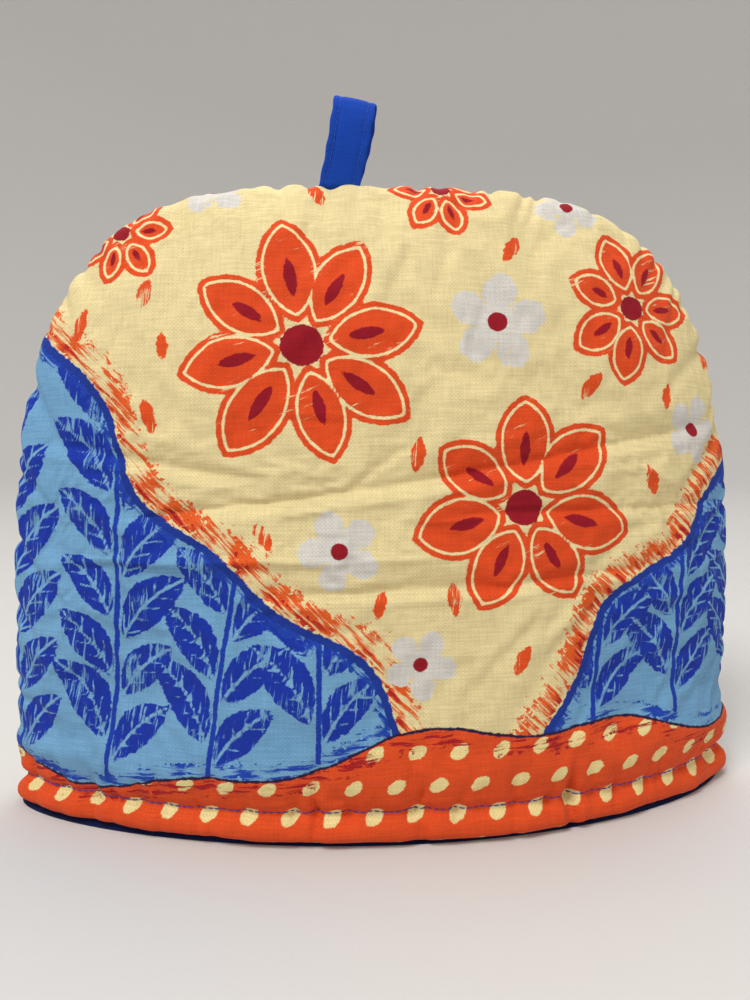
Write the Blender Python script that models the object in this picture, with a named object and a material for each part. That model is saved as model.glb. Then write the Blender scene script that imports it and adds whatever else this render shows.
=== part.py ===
"""Tea cosy: two padded, lined cotton panels sewn together along a dome-shaped seam.

It stands on its hem with its mouth a little open. A folded tape is caught in the top of
the seam as a hanging loop. Metres, +Z up. The front faces -Y, the seam lies in the plane
Y = 0 and the hem rests on the plane Z = 0, with the origin at the middle of the mouth.
"""

import math
from typing import NamedTuple

import bmesh
import bpy

# Driving sizes of the sewn cosy
FLAT_WIDTH = 0.345  # across the hem when it is laid flat
HEIGHT = 0.272  # from the hem to the top of the seam
MOUTH_DEPTH = 0.104  # front to back over the open hem
WALL = 0.007  # printed cotton with its wadding
LINING = 0.0012
SEAM_GAP = 0.0003  # between the two panels along the seam
LINING_GAP = 0.0005  # between a panel and its lining
LINING_LIFT = 0.001  # the lining stops this far above the hem's edge

# Form of a panel
SEAM_POWER = 3.7  # superellipse of the dome: upright sides and broad round shoulders
ARCH_POWER = 0.72  # 0.5 would be a round bulge, and 1 a flat lens
EDGE_ROUND = 0.005  # how far the wadding stands up beside the seam
EDGE_POWER = 12  # how close to the seam it falls away
INNER_ROUND = 0.003  # the same for the panel's inner face
LINING_ROUND = 0.0025  # the same for the lining's inner face
SEAM_TURNING = 0.0055  # from the seam in to the panel's inner face
CORNER_FLARE = 0.0022  # each side seam runs out by this at the hem
FLARE_HEIGHT = 0.014
LEAN_TO_RIGHT = 0.10  # the mouth stands open further on the right

# Hem: a soft roll under a line of topstitching
STITCH_HEIGHT = 0.0145
STITCH_DEPTH = 0.0016
STITCH_REACH = 0.0026  # half-width of the trough that the stitches pull in
HEM_ROUND = 0.0045  # radius of the outer edge
HEM_SWELL = 0.0008

CREASE_FADE = 0.02  # each crease fades out over this at either end

# Tape of the hanging loop
TAPE_WIDTH = 0.0175
TAPE_THICK = 0.0013
LOOP_HEIGHT = 0.036
LOOP_FOOT = 0.0008  # half the distance between the two ends in the seam
LOOP_SPREAD = 0.0074  # makes the eye about 9 mm wide
LOOP_RISE_POWER = 0.75  # the two powers bring the eye's widest place near the top
LOOP_SPREAD_POWER = 0.8
LOOP_PLACE = -0.019  # left of the middle
LOOP_LEAN = math.radians(10)

# Steps of the meshes
COLUMNS = 28
LINING_EVERY = 2  # the plain lining has only each second row and column
HEM_ROWS = (0.0, 0.0018, 0.0045, 0.0085, 0.0122, STITCH_HEIGHT, 0.0172, 0.022)
BODY_ROWS = (0.034, 0.052, 0.072, 0.09, 0.101, 0.112, 0.123, 0.134, 0.145, 0.157, 0.172)
TOP_ROWS = 8
LEVEL_TO = 0.35  # rows lie level up to this share of the height
LOOP_STEPS = 22
SHARP_ANGLE = math.radians(40)


class Crease(NamedTuple):
    """A soft trough left across a panel by folding. Across and up are metres on the panel."""

    across_from: float
    up_from: float
    across_to: float
    up_to: float
    depth: float
    reach: float


class Swell(NamedTuple):
    """A soft hill, or a hollow where its height is negative, in the wadding."""

    across: float
    up: float
    height: float
    reach: float


FRONT_CREASES = (
    Crease(-0.140, 0.157, -0.040, 0.143, 0.0019, 0.006),
    Crease(-0.125, 0.113, 0.035, 0.138, 0.0017, 0.006),
    Crease(0.020, 0.137, 0.150, 0.163, 0.0015, 0.006),
    Crease(-0.105, 0.103, 0.130, 0.112, 0.0014, 0.007),
    Crease(0.070, 0.147, 0.150, 0.135, 0.0017, 0.006),
)
FRONT_SWELLS = (
    Swell(-0.105, 0.070, -0.0026, 0.026),
    Swell(-0.040, 0.062, 0.0016, 0.036),
    Swell(0.100, 0.062, -0.0030, 0.022),
    Swell(0.045, 0.050, 0.0014, 0.026),
    Swell(-0.060, 0.205, 0.0018, 0.040),
    Swell(0.070, 0.210, 0.0014, 0.036),
    Swell(0.000, 0.170, -0.0012, 0.030),
    Swell(0.128, 0.105, 0.0016, 0.022),
)
BACK_CREASES = (
    Crease(-0.140, 0.128, 0.020, 0.121, 0.0011, 0.007),
    Crease(0.020, 0.121, 0.140, 0.136, 0.0011, 0.007),
    Crease(-0.110, 0.146, 0.060, 0.152, 0.0009, 0.006),
)
BACK_SWELLS = (
    Swell(0.095, 0.080, -0.0026, 0.030),
    Swell(-0.085, 0.060, -0.0020, 0.028),
    Swell(0.010, 0.075, 0.0018, 0.040),
    Swell(-0.070, 0.200, 0.0016, 0.036),
    Swell(0.060, 0.195, 0.0018, 0.040),
    Swell(0.000, 0.235, -0.0010, 0.026),
)


def ease(t):
    """0 to 1, with level ends."""
    t = min(1.0, max(0.0, t))
    return t * t * (3 - 2 * t)


def opened_width(flat, depth):
    """Straight width of a cloth of that flat width when it is bowed out by depth."""
    return (flat + math.sqrt(flat * flat - 32 / 3 * depth * depth)) / 2


BOW = MOUTH_DEPTH / 2 - EDGE_ROUND
HALF_WIDTH = opened_width(FLAT_WIDTH, BOW) / 2


class Skin(NamedTuple):
    """One face of a panel or lining, as distances in from the panel's outer face."""

    inset: float  # in from the outer face, over the panel
    seam: float  # in from the outer face, at the seam
    lift: float  # of its lower edge above the floor
    edge_round: float
    shaped: bool  # it shows the hem roll, creases and swells of the printed cotton


OUTER = Skin(0.0, 0.0, 0.0, EDGE_ROUND, True)
INNER = Skin(WALL, SEAM_TURNING, 0.0, INNER_ROUND, False)
LINING_IN = WALL + LINING_GAP
LINING_SEAM = SEAM_TURNING + LINING_GAP
LINING_OUTER = Skin(LINING_IN, LINING_SEAM, LINING_LIFT, INNER_ROUND, False)
LINING_INNER = Skin(LINING_IN + LINING, LINING_SEAM + LINING, LINING_LIFT, LINING_ROUND, False)


def dome_place(u, v):
    """Place on the flat dome of a point of the square grid.

    u runs from -1 to 1 across, v from 0 at the hem to 1 at the top. The result is the
    place across and up, as shares of the half-width and height, and the share of the
    way out to the seam, which is 1 on the seam.
    """
    x = u * math.sqrt(1 - v * v / 2)
    z = v * math.sqrt(1 - u * u / 2 * ease(v / LEVEL_TO))
    angle = math.atan2(z, x)
    out = math.sqrt(max(0.0, u * u + v * v - u * u * v * v))
    cos, sin = abs(math.cos(angle)), abs(math.sin(angle))
    seam = (cos**SEAM_POWER + sin**SEAM_POWER) ** (-1 / SEAM_POWER)
    reach = out * (1 + (seam - 1) * out * out)
    return reach * math.cos(angle), reach * math.sin(angle), out


def hem_inset(up):
    """How far the outer face lies inside its plain form at a height above the floor."""
    inset = STITCH_DEPTH * math.exp(-(((up - STITCH_HEIGHT) / STITCH_REACH) ** 2))
    if up < STITCH_HEIGHT:
        inset -= HEM_SWELL * math.sin(math.pi * up / STITCH_HEIGHT)
    if up < HEM_ROUND:
        inset += HEM_ROUND - math.sqrt(HEM_ROUND**2 - (HEM_ROUND - up) ** 2)
    return inset


def crease_depth(crease, across, up):
    """Depth of one crease at a place on the panel."""
    run_x = crease.across_to - crease.across_from
    run_z = crease.up_to - crease.up_from
    from_x = across - crease.across_from
    from_z = up - crease.up_from
    length = math.hypot(run_x, run_z)
    along = (from_x * run_x + from_z * run_z) / length
    beside = (from_x * run_z - from_z * run_x) / length
    ends = ease(along / CREASE_FADE) * ease((length - along) / CREASE_FADE)
    return crease.depth * ends * math.exp(-((beside / crease.reach) ** 2))


def relief(across, up, creases, swells):
    """How far folds and wadding push the printed cotton out at a place on the panel."""
    rise = -sum(crease_depth(c, across, up) for c in creases)
    for s in swells:
        away = ((across - s.across) ** 2 + (up - s.up) ** 2) / s.reach**2
        rise += s.height * math.exp(-away)
    return rise


def skin_place(u, v, skin, creases, swells):
    """Across, out from the seam's plane, and up, of a grid point on one face."""
    share_x, share_z, out = dome_place(u, v)
    half_width = HALF_WIDTH - skin.seam
    height = HEIGHT - skin.seam
    up = share_z * height
    across = share_x * half_width
    flare = CORNER_FLARE * math.exp(-up / FLARE_HEIGHT)
    across += share_x**3 * flare
    fullness = math.sqrt(max(0.0, 1 - out**EDGE_POWER))
    depth = (BOW - skin.inset) * (1 - out * out) ** ARCH_POWER
    depth *= 1 + LEAN_TO_RIGHT * share_x * (1 - share_z)
    depth += skin.edge_round * fullness
    if skin.shaped:
        inset = hem_inset(up)
        across -= share_x * inset
        depth -= inset * fullness
        depth += relief(across, up, creases, swells) * fullness
    up = skin.lift + up * (height - skin.lift) / height
    return across, depth, up


def grid_steps(every):
    """The grid's places across and up, closer together towards the seam and the hem."""
    across = [math.sin(math.pi * (i / COLUMNS - 0.5)) for i in range(COLUMNS + 1)]
    up = [row / HEIGHT for row in HEM_ROWS + BODY_ROWS]
    last = up[-1]
    for i in range(1, TOP_ROWS + 1):
        up.append(last + (1 - last) * math.sin(math.pi / 2 * i / TOP_ROWS))
    return across[::every], up[::every]


def add_shell(name, side, faces, folds, every, material):
    """A closed shell between two faces of the cosy.

    Side is -1 at the front and 1 behind. Folds holds the panel's creases and swells.
    """
    across, up = grid_steps(every)
    creases, swells = folds
    bm = bmesh.new()
    layers = []
    for skin in faces:
        rows = []
        for v in up:
            row = []
            for u in across:
                x, out, z = skin_place(u, v, skin, creases, swells)
                y = side * max(SEAM_GAP / 2, out)
                row.append(bm.verts.new((x, y, z)))
            rows.append(row)
        layers.append(rows)
    outer, inner = layers
    last_column, last_row = len(across) - 1, len(up) - 1
    for j in range(last_row):
        for i in range(last_column):
            corners = [(j, i), (j, i + 1), (j + 1, i + 1), (j + 1, i)]
            bm.faces.new([outer[a][b] for a, b in corners])
            bm.faces.new([inner[a][b] for a, b in reversed(corners)])
    rim = [(0, i) for i in range(last_column + 1)]
    rim += [(j, last_column) for j in range(1, last_row + 1)]
    rim += [(last_row, i) for i in range(last_column - 1, -1, -1)]
    rim += [(j, 0) for j in range(last_row - 1, 0, -1)]
    for (a, b), (c, d) in zip(rim, rim[1:] + rim[:1]):
        bm.faces.new([outer[a][b], inner[a][b], inner[c][d], outer[c][d]])
    bmesh.ops.triangulate(bm, faces=bm.faces[:])
    bmesh.ops.recalc_face_normals(bm, faces=bm.faces[:])
    return finish(bm, name, material)


def add_loop(name, material):
    """The folded tape, standing up from the seam as a narrow loop that leans right."""
    path = []
    for i in range(LOOP_STEPS + 1):
        turn = math.pi * i / LOOP_STEPS
        rise = math.sin(turn) if 0 < i < LOOP_STEPS else 0.0
        half = LOOP_FOOT + LOOP_SPREAD * rise**LOOP_SPREAD_POWER
        height = (LOOP_HEIGHT - TAPE_THICK / 2) * rise**LOOP_RISE_POWER
        path.append((-half * math.cos(turn), height))
    bm = bmesh.new()
    pairs = []
    for i, (y, z) in enumerate(path):
        y0, z0 = path[max(0, i - 1)]
        y1, z1 = path[min(LOOP_STEPS, i + 1)]
        length = math.hypot(y1 - y0, z1 - z0)
        side_y, side_z = (z1 - z0) / length, -(y1 - y0) / length
        if i in (0, LOOP_STEPS):
            side_y, side_z = math.copysign(1, side_y), 0.0
        half = TAPE_THICK / 2
        pairs.append(
            [
                bm.verts.new((0, y - side_y * half, z - side_z * half)),
                bm.verts.new((0, y + side_y * half, z + side_z * half)),
            ]
        )
    section = []
    for (a, b), (c, d) in zip(pairs, pairs[1:]):
        section.append(bm.faces.new([a, b, d, c]))
    swept = bmesh.ops.extrude_face_region(bm, geom=section)
    moved = [g for g in swept["geom"] if isinstance(g, bmesh.types.BMVert)]
    bmesh.ops.translate(bm, verts=moved, vec=(TAPE_WIDTH, 0, 0))
    for vert in bm.verts:
        vert.co.x += LOOP_PLACE - TAPE_WIDTH / 2 + vert.co.z * math.tan(LOOP_LEAN)
        vert.co.z += HEIGHT + SEAM_GAP
    bmesh.ops.triangulate(bm, faces=bm.faces[:])
    bmesh.ops.recalc_face_normals(bm, faces=bm.faces[:])
    return finish(bm, name, material)


def finish(bm, name, material):
    """Makes an object of a mesh in work, shaded smooth up to its sharp edges."""
    mesh = bpy.data.meshes.new(name)
    bm.to_mesh(mesh)
    bm.free()
    mesh.materials.append(material)
    mesh.shade_smooth()
    mesh.set_sharp_from_angle(angle=SHARP_ANGLE)
    made = bpy.data.objects.new(name, mesh)
    bpy.context.scene.collection.objects.link(made)
    return made


def add_material(name, colour, roughness):
    """A plain cloth finish. Colour is linear red, green and blue."""
    material = bpy.data.materials.new(name)
    material.use_nodes = True
    shader = material.node_tree.nodes["Principled BSDF"]
    shader.inputs["Base Color"].default_value = (*colour, 1)
    shader.inputs["Roughness"].default_value = roughness
    shader.inputs["Metallic"].default_value = 0
    return material


def main():
    for old in list(bpy.data.objects):
        bpy.data.objects.remove(old)
    printed = add_material("printed_cotton", (0.60, 0.42, 0.20), 0.85)
    navy = add_material("navy_cotton", (0.012, 0.022, 0.09), 0.85)
    tape = add_material("blue_tape", (0.01, 0.07, 0.42), 0.8)
    panels = (
        ("front", -1, FRONT_CREASES, FRONT_SWELLS),
        ("back", 1, BACK_CREASES, BACK_SWELLS),
    )
    for word, side, *folds in panels:
        add_shell(f"{word}_panel", side, (OUTER, INNER), folds, 1, printed)
        lining = (LINING_OUTER, LINING_INNER)
        add_shell(f"{word}_lining", side, lining, folds, LINING_EVERY, navy)
    add_loop("hanging_loop", tape)


main()
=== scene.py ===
"""Dresses the padded cotton tea cosy: print, wadding, puckers, stitches, lining and loop.

Lengths are metres and +Z is up. The front faces -Y, and the seam runs close to Y = 0.
Places on a panel's cloth are given flat, as metres across from its middle and up from its
hem, and a print's own sizes are millimetres.
"""

import logging
import math
from collections.abc import Callable
from dataclasses import dataclass, field
from enum import Enum
from functools import partial

import bmesh
import bpy
import numpy as np
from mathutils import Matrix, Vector


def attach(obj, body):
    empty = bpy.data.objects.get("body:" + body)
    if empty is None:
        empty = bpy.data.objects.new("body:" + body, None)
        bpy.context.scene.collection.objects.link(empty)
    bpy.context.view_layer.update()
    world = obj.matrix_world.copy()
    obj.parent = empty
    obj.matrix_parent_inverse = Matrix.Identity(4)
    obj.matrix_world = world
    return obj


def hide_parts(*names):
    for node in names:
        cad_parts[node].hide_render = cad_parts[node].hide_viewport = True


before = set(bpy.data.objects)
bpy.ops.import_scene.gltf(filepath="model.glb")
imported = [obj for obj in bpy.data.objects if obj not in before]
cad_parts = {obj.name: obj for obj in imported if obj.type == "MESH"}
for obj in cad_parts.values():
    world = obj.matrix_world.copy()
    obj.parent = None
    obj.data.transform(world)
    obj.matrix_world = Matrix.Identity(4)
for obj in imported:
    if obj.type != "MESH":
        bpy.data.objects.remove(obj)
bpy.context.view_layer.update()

LOG = logging.getLogger("tea_cosy")
MM = 0.001

# Sockets of a colour Mix node
MIX_A, MIX_B, MIX_OUT = 6, 7, 2

# Names of the panels' cloth map and of the attributes that hold the print
CLOTH_MAP = "cloth"
FIELDS, LEAVES, BLOOMS, SPRINKLES = "fields", "leaves", "blooms", "sprinkles"

# What the shapes are called that other inks keep to
MASK_NAMES = {
    (FIELDS, 0): "blue",
    (FIELDS, 1): "orange",
    (LEAVES, 0): "leaf",
    (BLOOMS, 0): "petal",
}


class Side(Enum):
    """Which of the two panels a piece belongs to. The value is the sign of its Y."""

    FRONT = -1
    BACK = 1


def linear(colour: str) -> tuple[float, float, float, float]:
    """Turns an sRGB hex colour into the linear one that a shader takes.

    Args:
        colour: such as "#EBD9A0".

    Returns:
        Linear red, green, blue and an alpha of 1.
    """
    parts = [int(colour[i : i + 2], 16) / 255 for i in (1, 3, 5)]
    made = [c / 12.92 if c <= 0.04045 else ((c + 0.055) / 1.055) ** 2.4 for c in parts]
    return (*made, 1.0)


def ease(t: np.ndarray) -> np.ndarray:
    """Rises from 0 to 1 with level ends."""
    t = np.clip(t, 0.0, 1.0)
    return t * t * (3 - 2 * t)


def bell(distance: np.ndarray, reach: float) -> np.ndarray:
    """A bell of height 1 that has mostly died away at a reach from its middle."""
    return np.exp(-((distance / reach) ** 2))


def roughly(x: np.ndarray, y: np.ndarray, seed: int) -> np.ndarray:
    """Smooth irregular values from -1 to 1 that change over a distance of 1.

    Args:
        x: places across, in units of the wanted wavelength.
        y: places up, in the same units.
        seed: picks the pattern.

    Returns:
        One value for each place.
    """
    size = 64
    table = np.random.default_rng(seed).uniform(-1, 1, (size, size))
    column, row = np.floor(x).astype(int), np.floor(y).astype(int)
    s, t = ease(x - column), ease(y - row)
    corners = [table[(row + j) % size, (column + i) % size] for j in (0, 1) for i in (0, 1)]
    low = corners[0] * (1 - s) + corners[1] * s
    high = corners[2] * (1 - s) + corners[3] * s
    return low * (1 - t) + high * t


# The sewn form


@dataclass(frozen=True)
class Skin:
    """One face of a panel or of its lining, as distances in from the panel's outer face."""

    inset: float = 0.0
    seam: float = 0.0
    edge_round: float = 0.005


@dataclass(frozen=True)
class Dome:
    """The form of the cosy as it stands open on its hem, the same as its solids have."""

    height: float = 0.272
    flat_width: float = 0.345
    bow: float = 0.047
    seam_power: float = 3.7
    arch_power: float = 0.72
    edge_power: float = 12.0
    corner_flare: float = 0.0022
    flare_height: float = 0.014
    lean: float = 0.10
    level_to: float = 0.35
    seam_gap: float = 0.0003

    @property
    def half_width(self) -> float:
        """Half the straight width over the open hem."""
        spare = self.flat_width**2 - 32 / 3 * self.bow**2
        return (self.flat_width + math.sqrt(spare)) / 4

    def polar(self, u: np.ndarray, v: np.ndarray) -> tuple[np.ndarray, np.ndarray]:
        """Where the points of a square grid lie on the dome.

        Args:
            u: places across, from -1 to 1.
            v: places up, from 0 at the hem to 1 at the top.

        Returns:
            The share of the way out to the seam, and the angle about the hem's middle.
        """
        x = u * np.sqrt(1 - v * v / 2)
        z = v * np.sqrt(1 - u * u / 2 * ease(v / self.level_to))
        out = np.sqrt(np.maximum(0.0, u * u + v * v - u * u * v * v))
        return out, np.arctan2(z, x)

    def surface(self, out: np.ndarray, angle: np.ndarray, skin: Skin) -> np.ndarray:
        """Points of one face of a panel or lining.

        Args:
            out: share of the way from the hem's middle out to the seam.
            angle: angle about the hem's middle, from the right.
            skin: how far the face lies inside the panel's outer one.

        Returns:
            The points, with Y as their distance from the seam's plane.
        """
        cos, sin = np.abs(np.cos(angle)), np.abs(np.sin(angle))
        seam = (cos**self.seam_power + sin**self.seam_power) ** (-1 / self.seam_power)
        reach = out * (1 + (seam - 1) * out * out)
        share_x, share_z = reach * np.cos(angle), reach * np.sin(angle)
        up = share_z * (self.height - skin.seam)
        across = share_x * (self.half_width - skin.seam)
        across = across + share_x**3 * self.corner_flare * np.exp(-up / self.flare_height)
        depth = (self.bow - skin.inset) * np.maximum(0.0, 1 - out * out) ** self.arch_power
        depth = depth * (1 + self.lean * share_x * (1 - share_z))
        depth = depth + skin.edge_round * np.sqrt(np.maximum(0.0, 1 - out**self.edge_power))
        return np.stack([across, depth, up], axis=-1)

    def unrolled(self, out: np.ndarray, angle: np.ndarray) -> tuple[np.ndarray, ...]:
        """Where places lie on the flat cloth.

        Args:
            out: share of the way from the hem's middle out to the seam.
            angle: angle about the hem's middle, from the right.

        Returns:
            Distances across and up on the cloth, and in from the seam.
        """
        steps = np.sin(np.linspace(0, math.pi / 2, 40))
        heading = np.arctan2(np.sin(angle) * self.height, np.cos(angle) * self.half_width)

        def length(outer: np.ndarray) -> np.ndarray:
            """Measures along the cloth.

            Args:
                outer: share of the way out to measure to.

            Returns:
                The length from the hem's middle.
            """
            total = np.zeros_like(outer)
            last = self.surface(outer * steps[0], angle, Skin())
            for step in steps[1:]:
                now = self.surface(outer * step, angle, Skin())
                total += np.linalg.norm(now - last, axis=-1)
                last = now
            return total

        reached = length(out)
        left = length(np.ones_like(out)) - reached
        return reached * np.cos(heading), reached * np.sin(heading), left

    def seam_run(self, angle: np.ndarray) -> np.ndarray:
        """Measures along the seam.

        Args:
            angle: angle about the hem's middle, from the right.

        Returns:
            The length of seam from its right end, at the hem, to each angle.
        """
        angles = np.linspace(0, math.pi, 721)
        seam = self.surface(np.ones_like(angles), angles, Skin())
        steps = np.linalg.norm(np.diff(seam, axis=0), axis=1)
        return np.interp(angle, angles, np.concatenate([[0.0], np.cumsum(steps)]))


DOME = Dome()
HEM_TOP = 0.024  # the hem and its stitching have finer rows up to here
LOOP_PLACE = -0.019  # middle of the loop across the top of the seam


@dataclass
class Grid:
    """A sheet of points in rows from the hem up, on one panel of the dome."""

    u: np.ndarray
    v: np.ndarray

    def __post_init__(self) -> None:
        """Works out where the grid lies on the dome and on the flat cloth."""
        self.out, self.angle = DOME.polar(*np.meshgrid(self.u, self.v))
        self.across, self.up, self.from_seam = DOME.unrolled(self.out, self.angle)
        self.along_seam = DOME.seam_run(self.angle)

    def every(self, step: int) -> "Grid":
        """The coarser grid that keeps each of so many rows and columns."""
        return Grid(self.u[::step], self.v[::step])

    def points(self, skin: Skin) -> np.ndarray:
        """The points of one face of the panel, with Y as the distance from the seam."""
        return DOME.surface(self.out, self.angle, skin)


def packed(count: int, gather: float) -> np.ndarray:
    """Values from 0 to 1 that lie closer together towards 1 as gather nears 1."""
    steps = np.linspace(0, 1, count + 1)
    return (1 - gather) * steps + gather * np.sin(math.pi / 2 * steps)


def panel_grid(columns: int, hem_rows: int, rows: int) -> Grid:
    """A grid over a panel, with rows closer together in its hem, creases and top.

    Args:
        columns: how many strips lie side by side.
        hem_rows: rows in the hem and its stitching.
        rows: rows above that.

    Returns:
        The grid.
    """
    half = packed(columns // 2, 0.6)
    hem = HEM_TOP / DOME.height
    low = np.linspace(0, hem, hem_rows + 1)
    up = np.linspace(hem, 1, 2000)
    close = np.cumsum(1 + 1.8 * bell(up - 0.50, 0.17) + 1.6 * ease((up - 0.84) / 0.12))
    high = np.interp(np.linspace(close[0], close[-1], rows + 1), close, up)
    return Grid(np.concatenate([-half[:0:-1], half]), np.concatenate([low, high[1:]]))


def grid_normals(points: np.ndarray) -> np.ndarray:
    """Works out which way each point of a grid faces, from the faces round it.

    Args:
        points: rows of points, with Y as the distance from the seam.

    Returns:
        Unit normals, out from the panel.
    """
    rising = points[1:, 1:] - points[:-1, :-1]
    falling = points[1:, :-1] - points[:-1, 1:]
    faces = np.cross(falling, rising)
    total = np.zeros_like(points)
    for rows in (slice(None, -1), slice(1, None)):
        for columns in (slice(None, -1), slice(1, None)):
            total[rows, columns] += faces
    return total / np.maximum(np.linalg.norm(total, axis=-1, keepdims=True), 1e-12)


def lining_edge(across: np.ndarray) -> np.ndarray:
    """Thickness of the lining's turned edge below the hem, more to the right."""
    uneven = 0.0004 * roughly(across / 0.011, 0 * across, 90)
    return 0.0016 + uneven + 0.0007 * ease(across / 0.10)


@dataclass(frozen=True)
class Seam:
    """The line where front and back are sewn together, which sways a little to each side."""

    sway: float = 0.0011
    run_across: float = 0.034
    run_up: float = 0.030
    straight: float = 0.012  # to each side of the loop's middle, it does not sway
    recovery: float = 0.030  # beyond that, how soon it sways fully
    reach: float = 0.035  # how far in from the seam the cloth goes along with it
    seed: int = 70

    def placed(
        self, points: np.ndarray, from_seam: np.ndarray, side: Side, gap: float
    ) -> np.ndarray:
        """Sets points of a panel on their own side of the seam.

        Args:
            points: the points, with Y as the distance from the seam.
            from_seam: how far in from the seam each lies along the cloth.
            side: the panel's side.
            gap: how near to the seam they may come.

        Returns:
            The points in the row frame.
        """
        x, z = points[..., 0], points[..., 2]
        sway = self.sway * roughly(x / self.run_across, z / self.run_up, self.seed)
        sway = sway * ease((np.abs(x - LOOP_PLACE) - self.straight) / self.recovery)
        sway = sway * (1 - ease(from_seam / self.reach))
        placed = points.copy()
        placed[..., 1] = np.maximum(points[..., 1], gap) * side.value + sway
        return placed


SEAM = Seam()


# What the cloth does


@dataclass(frozen=True)
class Crease:
    """A sharp fold left from storage, as a trough between two flanks, or a ridge."""

    across_from: float
    up_from: float
    across_to: float
    up_to: float
    depth: float  # below 0 for a ridge
    reach: float

    def height(self, across: np.ndarray, up: np.ndarray) -> np.ndarray:
        """How far the crease moves the cloth out.

        Args:
            across: places across the cloth.
            up: places up the cloth.

        Returns:
            Heights, below 0 in a trough.
        """
        run_x, run_z = self.across_to - self.across_from, self.up_to - self.up_from
        length = math.hypot(run_x, run_z)
        from_x, from_z = across - self.across_from, up - self.up_from
        along = (from_x * run_x + from_z * run_z) / length
        beside = (from_z * run_x - from_x * run_z) / length
        beside = beside + 0.0010 * roughly(along / 0.028, 0 * along + self.up_from / 0.01, 5)
        ends = ease(along / 0.035) * ease((length - along) / 0.035)
        flank = np.where(beside > 0, beside / self.reach, -beside / (0.55 * self.reach))
        return -self.depth * ends * np.maximum(0.0, 1 - flank) ** 1.5


@dataclass(frozen=True)
class Swell:
    """A soft hill, or a hollow where its height is negative, in the wadding."""

    across: float
    up: float
    height: float
    reach: float


@dataclass(frozen=True)
class Puckers:
    """Small gathers that a line of stitches pulls into the cloth."""

    pitch: float
    depth: float
    width: float
    reach: float

    def height(self, along: np.ndarray, away: np.ndarray, length: float, seed: int) -> np.ndarray:
        """How far the gathers move the cloth out.

        Args:
            along: distance along the line of stitches.
            away: distance from that line.
            length: the line's whole length.
            seed: picks where the gathers fall.

        Returns:
            Heights, mostly below 0.
        """
        rng = np.random.default_rng(seed)
        count = int(length / self.pitch)
        total = np.zeros_like(along)
        for i in range(count + 1):
            place = (i + rng.uniform(-0.32, 0.32)) * self.pitch
            depth = self.depth * rng.uniform(0.25, 1.3)
            width = self.width * rng.uniform(0.7, 1.5)
            reach = self.reach * rng.uniform(0.45, 1.6)
            slant = rng.uniform(-0.35, 0.35)
            total -= depth * bell(along - place - slant * away, width) * bell(away, reach)
        return total


FRONT_CREASES = (
    Crease(-0.160, 0.168, -0.045, 0.149, 0.0022, 0.011),
    Crease(-0.125, 0.132, 0.050, 0.154, 0.0024, 0.012),
    Crease(-0.145, 0.117, 0.035, 0.118, -0.0015, 0.010),
    Crease(0.005, 0.149, 0.165, 0.175, 0.0021, 0.012),
    Crease(0.065, 0.169, 0.145, 0.140, -0.0015, 0.010),
    Crease(0.015, 0.135, 0.170, 0.138, 0.0020, 0.011),
    Crease(-0.065, 0.103, 0.115, 0.110, 0.0013, 0.009),
)
BACK_CREASES = (
    Crease(-0.160, 0.136, 0.025, 0.128, 0.0021, 0.011),
    Crease(0.000, 0.128, 0.160, 0.144, 0.0022, 0.012),
    Crease(-0.120, 0.154, 0.065, 0.161, -0.0015, 0.010),
    Crease(-0.040, 0.112, 0.120, 0.108, 0.0013, 0.009),
)
FRONT_SWELLS = (
    Swell(-0.110, 0.070, -0.0026, 0.026),
    Swell(-0.040, 0.062, 0.0016, 0.036),
    Swell(0.105, 0.062, -0.0030, 0.022),
    Swell(0.045, 0.050, 0.0014, 0.026),
    Swell(-0.060, 0.210, 0.0018, 0.040),
    Swell(0.070, 0.215, 0.0014, 0.036),
    Swell(0.000, 0.175, -0.0012, 0.030),
    Swell(0.133, 0.105, 0.0016, 0.022),
)
BACK_SWELLS = (
    Swell(0.100, 0.080, -0.0026, 0.030),
    Swell(-0.090, 0.060, -0.0020, 0.028),
    Swell(0.010, 0.075, 0.0018, 0.040),
    Swell(-0.070, 0.205, 0.0016, 0.036),
    Swell(0.060, 0.200, 0.0018, 0.040),
    Swell(0.000, 0.240, -0.0010, 0.026),
)


# The print, worked out as distances that are above 0 inside each shape


def lens(x: np.ndarray, y: np.ndarray, half_length: float, half_width: float) -> np.ndarray:
    """Distance in from the edge of a pointed leaf shape that lies along x."""
    radius = (half_length**2 + half_width**2) / (2 * half_width)
    return radius - np.hypot(x, np.abs(y) + radius - half_width)


def turned(x: np.ndarray, y: np.ndarray, degrees: float) -> tuple[np.ndarray, np.ndarray]:
    """Places as seen from axes that are turned anticlockwise by some degrees."""
    cos, sin = math.cos(math.radians(degrees)), math.sin(math.radians(degrees))
    return x * cos + y * sin, y * cos - x * sin


@dataclass(frozen=True)
class Bloom:
    """A large daisy of the print. Millimetres and degrees."""

    across: float
    up: float
    radius: float
    petals: int
    turn: float


@dataclass(frozen=True)
class Sprig:
    """A stem with leaves in pairs along it."""

    across: float
    up: float
    heading: float
    length: float
    bend: float


@dataclass(frozen=True)
class Speck:
    """A small motif: a blossom, dab or dot."""

    across: float
    up: float
    size: float
    turn: float = 0.0


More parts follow.
